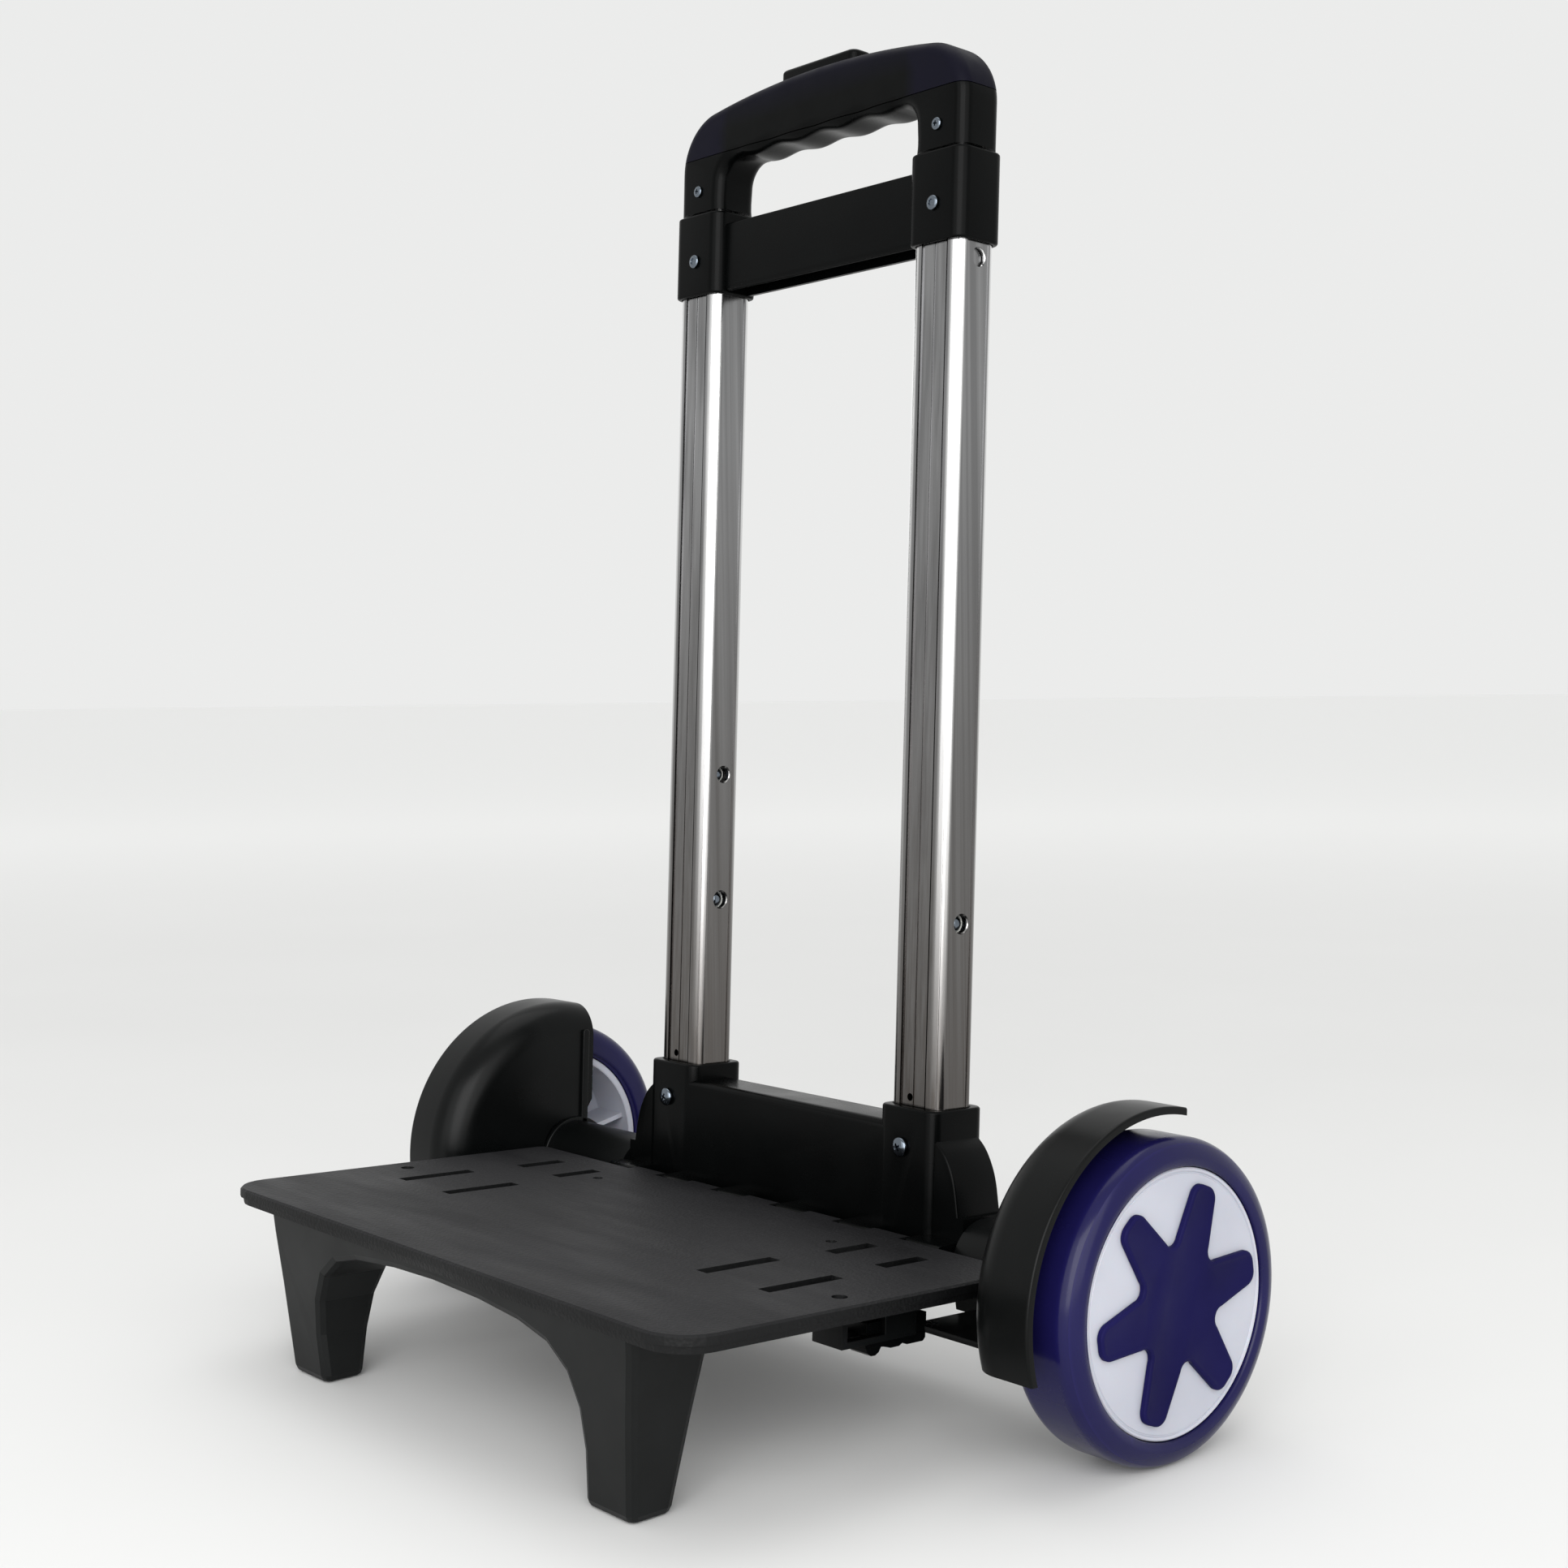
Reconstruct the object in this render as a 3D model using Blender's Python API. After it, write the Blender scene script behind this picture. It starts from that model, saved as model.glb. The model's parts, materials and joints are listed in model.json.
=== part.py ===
"""A folding platform cart: two wheels, a fold-up platform on two legs, and a two-stage pull handle.

All sizes below are millimetres in the cart's own frame: origin midway along the wheel axle,
X to the right, Y to the back and Z up along the handle tubes. That frame leans back by LEAN
about the axle, and Blender's units are metres.
"""

import math
from collections import namedtuple

import bmesh
import bpy
from mathutils import Matrix, Vector

MM = 0.001
GAP = 0.3
LEAN = math.radians(2.7)
AXLE_HEIGHT = 50.0
AXLE_BACK = 54.5

# Wheels
WHEEL_X = 159.8
WHEEL_R = 50.0
TYRE_HALF = 13.2
DISC_R = 41.1
RIM_R = 38.0
AXLE_R = 4.0
BUSH_R = 5.9
STAR_TIP = 36.6
STAR_TURN = math.radians(9.0)

# Telescopic tubes: half sizes along X and Y
TUBE_X = 63.5
TUBE_Y = 2.1
OUTER_HALF = (11.5, 9.1)
OUTER_BORE = (9.9, 7.5)
POCKET_HALF = (11.8, 9.4)
MID_HALF = (9.6, 7.2)
MID_BORE = (8.7, 6.3)
INNER_HALF = (8.4, 6.0)
INNER_BORE = (7.5, 5.1)
OUTER_SPAN = (6.3, 362.0)
MID_SPAN = (97.0, 366.5)
INNER_SPAN = (143.0, 384.0)
PIN_Z = 107.5
INNER_PIN_Z = 155.0
TOP_HOLE_Z = 331.0

# Axle housing and upper bracket
HOUSING_Y = (-8.5, 12.0)
HOUSING_BOTTOM = -13.0
HOUSING_END = 90.0
SOCKET_HALF = (13.3, 12.7)
SOCKET_Z = (-12.7, 45.4)
BRIDGE_Y = (-10.4, 7.5)
BRIDGE_TOP = 39.8
BRIDGE_WALL = 3.1
SCREW_SHIFT = -1.1
SCREW_Z = 32.0
BRACKET_HALF = (13.0, 10.7)
BRACKET_Z = (336.0, 366.8)
PLATE_Y = (-4.0, 8.6)
PLATE_Z = (336.6, 362.2)
RIVET_Z = 348.8

# Fold hinge and platform
HINGE_Y = -17.0
HINGE_Z = 1.0
HINGE_PIN_R = 1.5
KNUCKLE_R = 3.6
KNUCKLES = 11
KNUCKLE_PITCH = 16.3
DECK_HALF_X = 129.6
DECK_Y = (-159.6, -21.2)
DECK_TOP = 4.6
DECK_SKIN = 3.2
RIM_BOTTOM = -1.0
LEG_TOP = 1.1

# Fenders
FENDER_R = 58.5
FENDER_WALL_X = 139.5
FENDER_RIM_X = 166.5
FENDER_SKIN = 2.4
FENDER_CENTRE = (-2.5, 0.5)
FENDER_BACK = 9.0
FENDER_BOTTOM = -17.0

# Handle grip
GRIP_BOTTOM = 367.7
GRIP_SPLIT = 388.0
GRIP_TOP = 409.5
GRIP_CROWN_R = 370.0
GRIP_UNDER = 385.7
GRIP_HALF_Y = 9.4
BUTTON_X = (-23.0, 16.5)
BUTTON_TOP = 413.4
CROSSBAR_Z = (394.0, 397.5)
SPRING_POCKET_TOP = 396.2

Anchor = namedtuple("Anchor", "empty at")
SIDES = (("left", -1), ("right", 1))


# ---------------------------------------------------------------- outlines

def arc(centre, radius, start, end, steps):
    """Points on a circle from start to end, in degrees, both ends included."""
    points = []
    for step in range(steps + 1):
        angle = math.radians(start + (end - start) * step / steps)
        points.append((centre[0] + radius * math.cos(angle), centre[1] + radius * math.sin(angle)))
    return points


def circle(centre, radius, sides=24):
    return arc(centre, radius, 0.0, 360.0 * (sides - 1) / sides, sides - 1)


def rounded_box(centre, half, radius, steps=3):
    points = []
    for turn, (sx, sy) in enumerate(((1, 1), (-1, 1), (-1, -1), (1, -1))):
        corner = (centre[0] + sx * (half[0] - radius), centre[1] + sy * (half[1] - radius))
        points += arc(corner, radius, 90.0 * turn, 90.0 * turn + 90.0, steps)
    return points


def box_outline(u_span, v_span):
    (u0, u1), (v0, v1) = u_span, v_span
    return [(u0, v0), (u1, v0), (u1, v1), (u0, v1)]


def mirrored(half):
    """A left-right symmetric outline from its right half, which runs from the top middle down and round."""
    return half + [(-x, z) for x, z in reversed(half) if x > 1e-6]


def grooved_tube(centre, half):
    """The outer tube's section: four rounded corner beads with recessed panels between them."""
    depth, slope, bead = 0.6, 0.7, 4.3
    points = []
    for turn, (sx, sy) in enumerate(((1, 1), (-1, 1), (-1, -1), (1, -1))):
        along_x = turn % 2 == 1
        corner = (centre[0] + sx * (half[0] - bead), centre[1] + sy * (half[1] - bead))
        points += arc(corner, bead, 90.0 * turn, 90.0 * turn + 90.0, 5)
        # The panel after this corner runs along X on the front and back, and along Y at the ends.
        if not along_x:
            start = half[0] - bead - 0.2
            wall = centre[1] + sy * half[1]
            inner = wall - sy * depth
            points += [(centre[0] + sx * start, wall), (centre[0] + sx * (start - slope), inner)]
            points += [(centre[0] + sx * 0.5, inner), (centre[0], inner - sy * 0.35)]
            points += [(centre[0] - sx * 0.5, inner)]
            points += [(centre[0] - sx * (start - slope), inner), (centre[0] - sx * start, wall)]
        else:
            start = half[1] - bead - 0.2
            wall = centre[0] + sx * half[0]
            inner = wall - sx * depth
            points += [(wall, centre[1] + sy * start), (inner, centre[1] + sy * (start - slope))]
            points += [(inner, centre[1] - sy * (start - slope)), (wall, centre[1] - sy * start)]
    return points


def star(tip, half_width, corner, valley, fillet):
    """Six round-ended arms. valley is the radius where two arms meet, and fillet rounds that corner."""
    points = []
    for arm in range(6):
        turn = STAR_TURN + math.radians(60.0) * arm
        local = arc((tip - corner, -(half_width - corner)), corner, -80.0, 0.0, 3)
        local += arc((tip - corner, half_width - corner), corner, 0.0, 80.0, 3)
        middle = math.radians(30.0)
        centre = ((valley + fillet) * math.cos(middle), (valley + fillet) * math.sin(middle))
        local += arc(centre, fillet, 275.0, 145.0, 4)
        for radial, side in local:
            points.append((
                radial * math.cos(turn) - side * math.sin(turn),
                radial * math.sin(turn) + side * math.cos(turn),
            ))
    return points


# ---------------------------------------------------------------- meshes

def loft(bm, rings, closed=False):
    """Skins rings of equally many points, and caps both ends unless the loft closes on itself."""
    rows = [[bm.verts.new(point) for point in ring] for ring in rings]
    pairs = list(zip(rows, rows[1:]))
    if closed:
        pairs.append((rows[-1], rows[0]))
    count = len(rows[0])
    for low, high in pairs:
        for i in range(count):
            j = (i + 1) % count
            bm.faces.new((low[i], low[j], high[j], high[i]))
    if not closed:
        bm.faces.new(rows[0])
        bm.faces.new(rows[-1])
    return bm


def to_space(outline, axis, at):
    """Lifts a 2-D outline into space: (y, z) for axis X, (x, z) for axis Y and (x, y) for axis Z."""
    if axis == "X":
        return [(at, u, v) for u, v in outline]
    if axis == "Y":
        return [(u, at, v) for u, v in outline]
    return [(u, v, at) for u, v in outline]


def prism(outline, axis, low, high, bm=None):
    bm = bm or bmesh.new()
    return loft(bm, [to_space(outline, axis, low), to_space(outline, axis, high)])


def stepped(outlines, axis, bm=None):
    """A stack of (position, outline) pairs skinned into one solid."""
    bm = bm or bmesh.new()
    return loft(bm, [to_space(outline, axis, at) for at, outline in outlines])


def turned(profile, centre_x, side, steps=48, bm=None):
    """Turns a closed profile of (x, radius) points about the axle. side mirrors it outwards."""
    bm = bm or bmesh.new()
    rings = []
    for step in range(steps):
        angle = math.tau * step / steps
        rings.append([
            (centre_x + side * x, r * math.cos(angle), r * math.sin(angle)) for x, r in profile
        ])
    return loft(bm, rings, closed=True)


def material(name, colour, roughness, metallic=0.0):
    made = bpy.data.materials.new(name)
    made.use_nodes = True
    shader = made.node_tree.nodes["Principled BSDF"]
    shader.inputs["Base Color"].default_value = (*colour, 1.0)
    shader.inputs["Roughness"].default_value = roughness
    shader.inputs["Metallic"].default_value = metallic
    made.diffuse_color = (*colour, 1.0)
    return made


def anchor(name, at=(0.0, 0.0, 0.0), parent=None, tilt=0.0):
    """An empty on a joint's axis or at a body's origin; at is in the cart's frame."""
    empty = bpy.data.objects.new(name, None)
    empty.empty_display_size = 0.02
    bpy.context.collection.objects.link(empty)
    if parent:
        empty.parent = parent.empty
        empty.location = (Vector(at) - parent.at) * MM
    else:
        empty.location = (0.0, AXLE_BACK * MM, AXLE_HEIGHT * MM)
    empty.rotation_euler = (tilt, 0.0, 0.0)
    return Anchor(empty, Vector(at))


def part(name, bm, finish, home, smooth=35.0):
    """Makes a mesh object whose shape is given in the cart's frame, with its origin on its anchor."""
    bmesh.ops.recalc_face_normals(bm, faces=bm.faces)
    bmesh.ops.translate(bm, vec=-home.at, verts=bm.verts)
    bmesh.ops.scale(bm, vec=(MM, MM, MM), verts=bm.verts)
    mesh = bpy.data.meshes.new(name)
    bm.to_mesh(mesh)
    bm.free()
    mesh.shade_smooth()
    mesh.set_sharp_from_angle(angle=math.radians(smooth))
    if finish:
        mesh.materials.append(finish)
    obj = bpy.data.objects.new(name, mesh)
    obj.parent = home.empty
    bpy.context.collection.objects.link(obj)
    return obj


def boolean(obj, bm, home, operation="DIFFERENCE"):
    """Cuts or joins a helper solid, which stays in the file as a hidden wire object."""
    helper = part(f"helper_{obj.name}_{len(obj.modifiers)}", bm, None, home)
    helper.hide_render = True
    helper.display_type = "WIRE"
    modifier = obj.modifiers.new(operation.lower(), "BOOLEAN")
    modifier.operation = operation
    modifier.object = helper
    modifier.solver = "EXACT"


def bevel(obj, width, segments, angle):
    modifier = obj.modifiers.new("bevel", "BEVEL")
    modifier.width = width * MM
    modifier.segments = segments
    modifier.limit_method = "ANGLE"
    modifier.angle_limit = math.radians(angle)
    modifier.use_clamp_overlap = True


def keep_below(bm, point, normal):
    """Cuts away what lies on the normal's side of a plane and closes the cut."""
    cut = bmesh.ops.bisect_plane(
        bm, geom=bm.verts[:] + bm.edges[:] + bm.faces[:], plane_co=point, plane_no=normal,
        clear_outer=True, clear_inner=False,
    )
    edges = [item for item in cut["geom_cut"] if isinstance(item, bmesh.types.BMEdge)]
    bmesh.ops.holes_fill(bm, edges=edges)
    return bm


# ---------------------------------------------------------------- wheels

def make_wheel(label, side, home, finish):
    x = side * WHEEL_X
    shoulder = 6.0
    tyre = [(-11.9, RIM_R + GAP), (9.0, RIM_R + GAP), (9.0, DISC_R + GAP), (11.9, DISC_R + GAP)]
    tyre += [(TYRE_HALF - 0.4, DISC_R + 1.4)]
    tyre += arc((TYRE_HALF - shoulder, WHEEL_R - shoulder), shoulder, 0.0, 90.0, 3)
    tyre += arc((-TYRE_HALF + shoulder, WHEEL_R - shoulder), shoulder, 90.0, 180.0, 3)
    tyre += [(-TYRE_HALF + 0.4, 40.5)]
    part(f"tyre_{label}", turned(tyre, x, side, 40), finish["tyre"], home)

    boss, rim_in, web = 10.5, 35.2, 8.4
    hub = [(11.4, 9.0), (11.4, DISC_R), (9.3, DISC_R), (9.3, RIM_R), (-11.5, RIM_R), (-11.5, rim_in)]
    hub += [(web, rim_in), (web, boss), (-13.0, boss), (-13.0, BUSH_R + GAP), (6.6, BUSH_R + GAP)]
    hub += [(6.6, 9.0)]
    hub_object = part(f"wheel_hub_{label}", turned(hub, x, side, 32), finish["hub"], home)
    for rib in range(4):
        spoke = prism(box_outline((-36.3, 36.3), (-1.0, 1.0)), "X", x - side * 8.0, x + side * 9.5)
        turn = Matrix.Rotation(math.radians(45.0 * rib + 12.0), 4, "X")
        bmesh.ops.transform(spoke, matrix=turn, verts=spoke.verts)
        boolean(hub_object, spoke, home, "UNION")
    bore = [(-14.0, BUSH_R + GAP), (6.6, BUSH_R + GAP), (6.6, 9.0), (14.0, 9.0)]
    layers = [(x + side * at, circle((0.0, 0.0), r, 32)) for at, r in bore]
    boolean(hub_object, stepped(layers, "X"), home)

    face = 11.4 + GAP
    full = star(STAR_TIP, 5.7, 4.2, 18.4, 3.4)
    small = star(STAR_TIP - 0.7, 5.0, 3.6, 17.7, 4.0)
    layers = [(x + side * face, full), (x + side * 13.0, full), (x + side * 13.5, small)]
    part(f"star_cap_{label}", stepped(layers, "X"), finish["tyre"], home)

    bush = [(-13.0, AXLE_R + 0.08), (6.3, AXLE_R + 0.08), (6.3, BUSH_R), (-13.0, BUSH_R)]
    part(f"wheel_bush_{label}", turned(bush, x, side, 24), finish["nylon"], home)


def make_axle(home, finish):
    end = WHEEL_X + 9.8
    span = [(-end, 3.2), (-end + 0.8, AXLE_R), (end - 0.8, AXLE_R), (end, 3.2)]
    bm = stepped([(x, circle((0.0, 0.0), r, 24)) for x, r in span], "X")
    part("wheel_axle", bm, finish["steel"], home)
    for label, side in SIDES:
        wall = FENDER_WALL_X + FENDER_SKIN
        ring = [(wall + GAP, AXLE_R + GAP), (WHEEL_X - 13.0 - GAP, AXLE_R + GAP)]
        ring += [(WHEEL_X - 13.0 - GAP, 9.0), (wall + GAP, 9.0)]
        part(f"axle_spacer_{label}", turned(ring, 0.0, side, 24), finish["nylon"], home)
        nut = [(7.0, AXLE_R + GAP), (9.2, AXLE_R + GAP), (9.2, 5.4), (7.8, 7.6), (7.0, 7.6)]
        part(f"push_nut_{label}", turned(nut, side * WHEEL_X, side, 24), finish["steel"], home)


# ---------------------------------------------------------------- frame

def fender_section():
    """The fender's wall and rim as a bent strip of (x, radius) points, from the axle side outwards."""
    bend = 12.5
    inner_bend = bend - FENDER_SKIN
    corner = (FENDER_WALL_X + bend, FENDER_R - bend)
    outer = [(FENDER_WALL_X, 12.0)] + arc(corner, bend, 180.0, 90.0, 4)
    outer += [(FENDER_RIM_X - 0.6, FENDER_R), (FENDER_RIM_X, FENDER_R - 0.6)]
    inner = [(FENDER_RIM_X, FENDER_R - FENDER_SKIN)] + arc(corner, inner_bend, 90.0, 180.0, 4)
    return outer + inner + [(FENDER_WALL_X + FENDER_SKIN, 12.0)]


def make_fender(label, side, home, finish):
    centre_y, centre_z = FENDER_CENTRE
    rings = []
    # Angles run from the front lower end, over the top, to behind the axle.
    for step in range(21):
        angle = math.radians(214.0 - 155.0 * step / 20)
        rings.append([
            (side * x, centre_y + r * math.cos(angle), centre_z + r * math.sin(angle))
            for x, r in fender_section()
        ])
    bm = loft(bmesh.new(), rings)
    bmesh.ops.recalc_face_normals(bm, faces=bm.faces)
    keep_below(bm, (0.0, FENDER_BACK, 0.0), (0.0, 1.0, 0.0))
    keep_below(bm, (0.0, 0.0, FENDER_BOTTOM), (0.0, 0.0, -1.0))
    fender = part(f"fender_{label}", bm, finish["plastic"], home)

    low = side * (HOUSING_END + GAP)
    high = side * (FENDER_WALL_X + FENDER_SKIN - 0.4)
    barrel = arc((1.0, -3.0), 14.5, 184.0, 12.0, 10)
    barrel += [(14.6, -6.0), (12.0, FENDER_BOTTOM + 0.1), (-11.0, FENDER_BOTTOM + 0.1)]
    boolean(fender, prism(barrel, "X", low, high), home, "UNION")
    shelf = box_outline((-40.0, 10.0), (FENDER_BOTTOM + 0.05, FENDER_BOTTOM + 2.3))
    boolean(fender, prism(shelf, "X", side * 100.0, high + side * 0.2), home, "UNION")
    lip = box_outline((3.2, 5.4), (8.0, 48.0))
    boolean(fender, prism(lip, "X", side * 138.4, side * 140.6), home, "UNION")
    bore = prism(circle((0.0, 0.0), AXLE_R + GAP, 24), "X", side * 80.0, side * 150.0)
    boolean(fender, bore, home)


def knuckle_span(index):
    middle = (index - (KNUCKLES - 1) / 2) * KNUCKLE_PITCH
    return middle - KNUCKLE_PITCH / 2 + GAP / 2, middle + KNUCKLE_PITCH / 2 - GAP / 2


def knuckle_outline(back, below):
    """A hinge knuckle and its tab; back is the Y where the tab joins its panel."""
    round_end = arc((HINGE_Y, HINGE_Z), KNUCKLE_R, 90.0, 270.0, 6)
    if back < HINGE_Y:
        round_end = [(2 * HINGE_Y - y, z) for y, z in round_end]
    return round_end + [(back, below), (back, HINGE_Z + KNUCKLE_R)]


def make_housing(home, finish):
    cheek = [(70.0, 35.8), (76.6, 35.5), (80.3, 32.2), (83.4, 27.3), (85.5, 21.8), (87.0, 14.0)]
    cheek += [(88.0, 8.6), (HOUSING_END, 4.0), (HOUSING_END, HOUSING_BOTTOM)]
    half = [(0.0, 35.8)] + cheek + [(0.0, HOUSING_BOTTOM)]
    housing = part("axle_housing", prism(mirrored(half), "Y", *HOUSING_Y), finish["plastic"], home)

    front, back = BRIDGE_Y
    bridge = [(front, SOCKET_Z[0] + 0.1)]
    bridge += arc((front + 2.8, BRIDGE_TOP - 2.8), 2.8, 180.0, 90.0, 4)
    bridge += [(back, BRIDGE_TOP), (back, SOCKET_Z[0] + 0.1)]
    boolean(housing, prism(bridge, "X", -TUBE_X + 6.0, TUBE_X - 6.0), home, "UNION")
    sockets = bmesh.new()
    for _, side in SIDES:
        prism(rounded_box((side * TUBE_X, TUBE_Y), SOCKET_HALF, 4.5), "Z", *SOCKET_Z, bm=sockets)
    boolean(housing, sockets, home, "UNION")

    # The bridge between the sockets is only a front wall and a top; behind them it is open.
    inner = TUBE_X - SOCKET_HALF[0]
    hollow = box_outline((-inner + 1.0, inner - 1.0), (12.0, BRIDGE_TOP - 2.4))
    boolean(housing, prism(hollow, "Y", front + BRIDGE_WALL, 20.0), home)
    tabs = bmesh.new()
    for index in range(0, KNUCKLES, 2):
        prism(knuckle_outline(-6.5, -6.0), "X", *knuckle_span(index), bm=tabs)
    boolean(housing, tabs, home, "UNION")
    cuts = bmesh.new()
    for _, side in SIDES:
        pocket = rounded_box((side * TUBE_X, TUBE_Y), POCKET_HALF, 4.6)
        prism(pocket, "Z", 6.0, 60.0, bm=cuts)
    prism(circle((0.0, 0.0), AXLE_R + GAP, 24), "X", -100.0, 100.0, bm=cuts)
    prism(circle((HINGE_Y, HINGE_Z), HINGE_PIN_R + GAP, 12), "X", -100.0, 100.0, bm=cuts)
    boolean(housing, cuts, home)
    holes = bmesh.new()
    for _, side in SIDES:
        hole = circle((side * TUBE_X + SCREW_SHIFT, SCREW_Z), 2.0, 12)
        prism(hole, "Y", -12.0, -4.0, bm=holes)
    boolean(housing, holes, home)


def make_upper_bracket(home, finish):
    low, high = BRACKET_Z
    front, back = PLATE_Y
    plate = arc((front + 2.4, PLATE_Z[0] + 2.4), 2.4, 270.0, 180.0, 3)
    plate += [(front, PLATE_Z[1]), (back, PLATE_Z[1]), (back, PLATE_Z[0])]
    reach = TUBE_X - 5.0
    bracket = part("upper_bracket", prism(plate, "X", -reach, reach), finish["plastic"], home)
    sockets = bmesh.new()
    for _, side in SIDES:
        prism(rounded_box((side * TUBE_X, TUBE_Y), BRACKET_HALF, 4.8), "Z", low, high, bm=sockets)
    boolean(bracket, sockets, home, "UNION")
    top = OUTER_SPAN[1] + GAP
    for _, side in SIDES:
        centre = (side * TUBE_X, TUBE_Y)
        seat = rounded_box(centre, POCKET_HALF, 4.6)
        passage = rounded_box(centre, OUTER_BORE, 2.3)
        boolean(bracket, prism(seat, "Z", low - 5.0, top), home)
        boolean(bracket, prism(passage, "Z", top - 1.0, high + 5.0), home)
        hole = circle((side * TUBE_X + 0.5, RIVET_Z), 1.5, 12)
        boolean(bracket, prism(hole, "Y", -10.5, -4.0), home)


def make_outer_tubes(home, finish):
    for label, side in SIDES:
        centre = (side * TUBE_X, TUBE_Y)
        bm = prism(grooved_tube(centre, OUTER_HALF), "Z", *OUTER_SPAN)
        tube = part(f"outer_tube_{label}", bm, finish["aluminium"], home)
        boolean(tube, prism(rounded_box(centre, OUTER_BORE, 2.2), "Z", 0.0, 370.0), home)
        face = centre[0] + OUTER_HALF[0]
        holes = bmesh.new()
        extra_z = INNER_PIN_Z if side < 0 else TOP_HOLE_Z
        for z, radius in ((PIN_Z, 3.2), (extra_z, 3.0)):
            prism(circle((TUBE_Y + 0.7, z), radius, 16), "X", face - 3.5, face + 3.0, bm=holes)
        for shift, z, radius in ((-1.7, 48.4, 1.3), (SCREW_SHIFT, SCREW_Z, 2.0)):
            prism(circle((centre[0] + shift, z), radius, 12), "Y", -12.0, -4.6, bm=holes)
        boolean(tube, holes, home)


def make_frame_fasteners(home, finish):
    for label, side in SIDES:
        x = side * TUBE_X + SCREW_SHIFT
        stack = [(-12.8, 2.4), (-12.2, 3.2), (-10.9, 3.3), (-10.9, 1.6), (-4.9, 1.3)]
        bm = stepped([(y, circle((x, SCREW_Z), r, 16)) for y, r in stack], "Y")
        screw = part(f"socket_screw_{label}", bm, finish["zinc"], home)
        cross = bmesh.new()
        prism(box_outline((x - 1.9, x + 1.9), (SCREW_Z - 0.4, SCREW_Z + 0.4)), "Y", -14.0, -11.8, bm=cross)
        boolean(screw, cross, home)
        cross = bmesh.new()
        prism(box_outline((x - 0.4, x + 0.4), (SCREW_Z - 1.9, SCREW_Z + 1.9)), "Y", -14.0, -11.8, bm=cross)
        boolean(screw, cross, home)
        centre = (side * TUBE_X + 0.5, RIVET_Z)
        stack = [(-10.1, 1.2), (-9.7, 2.1), (-9.0, 2.5), (-9.0, 1.1), (-7.5, 1.0)]
        bm = stepped([(y, circle(centre, r, 16)) for y, r in stack], "Y")
        part(f"bracket_rivet_{label}", bm, finish["zinc"], home)


def make_hinge_pin(home, finish):
    end = KNUCKLES * KNUCKLE_PITCH / 2 + 0.6
    bm = prism(circle((HINGE_Y, HINGE_Z), HINGE_PIN_R, 12), "X", -end, end)
    part("fold_hinge_pin", bm, finish["steel"], home)


# ---------------------------------------------------------------- platform

def deck_outline(inset):
    half = DECK_HALF_X - inset
    front, back = DECK_Y[0] + inset, DECK_Y[1] - inset
    front_r, back_r = 15.0 - inset, max(4.0 - inset, 0.6)
    points = arc((half - front_r, front + front_r), front_r, 270.0, 360.0, 6)
    points += arc((half - back_r, back - back_r), back_r, 0.0, 90.0, 2)
    points += arc((-half + back_r, back - back_r), back_r, 90.0, 180.0, 2)
    points += arc((-half + front_r, front + front_r), front_r, 180.0, 270.0, 6)
    return points


def make_deck(home, finish):
    layers = [(RIM_BOTTOM, deck_outline(1.4)), (1.2, deck_outline(1.0)), (1.5, deck_outline(0.0))]
    layers += [(DECK_TOP - 0.7, deck_outline(0.0)), (DECK_TOP, deck_outline(0.7))]
    deck = part("platform_deck", stepped(layers, "Z"), finish["deck"], home)
    underside = prism(deck_outline(3.6), "Z", RIM_BOTTOM - 4.0, DECK_TOP - DECK_SKIN)
    boolean(deck, underside, home)

    cuts = bmesh.new()
    for _, side in SIDES:
        for x, y_span in ((72.0, (-104.0, -74.2)), (101.0, (-104.0, -74.2)),
                          (75.5, (-54.0, -35.0)), (98.5, (-54.0, -35.0))):
            slot = box_outline((side * x - 2.7, side * x + 2.7), y_span)
            prism(slot, "Z", -6.0, 12.0, bm=cuts)
        prism(circle((side * 119.5, -90.5), 2.5, 16), "Z", -6.0, 12.0, bm=cuts)
        prism(circle((side * 64.0, -43.0), 1.9, 12), "Z", -6.0, 12.0, bm=cuts)
    # Room for the housing's knuckles between the deck's own.
    for index in range(0, KNUCKLES, 2):
        low, high = knuckle_span(index)
        notch = circle((HINGE_Y, HINGE_Z), KNUCKLE_R + 0.6, 12)
        prism(notch, "X", low - GAP, high + GAP, bm=cuts)
    boolean(deck, cuts, home)

    tabs = bmesh.new()
    for index in range(1, KNUCKLES, 2):
        prism(knuckle_outline(-24.0, 1.9), "X", *knuckle_span(index), bm=tabs)
    boolean(deck, tabs, home, "UNION")
    bore = prism(circle((HINGE_Y, HINGE_Z), HINGE_PIN_R + GAP, 12), "X", -120.0, 120.0)
    boolean(deck, bore, home)


def floor_height(y):
    """The cart-frame height of the level floor under a point, for the lean of the whole cart."""
    return -AXLE_HEIGHT / math.cos(LEAN) + y * math.tan(LEAN)


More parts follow.
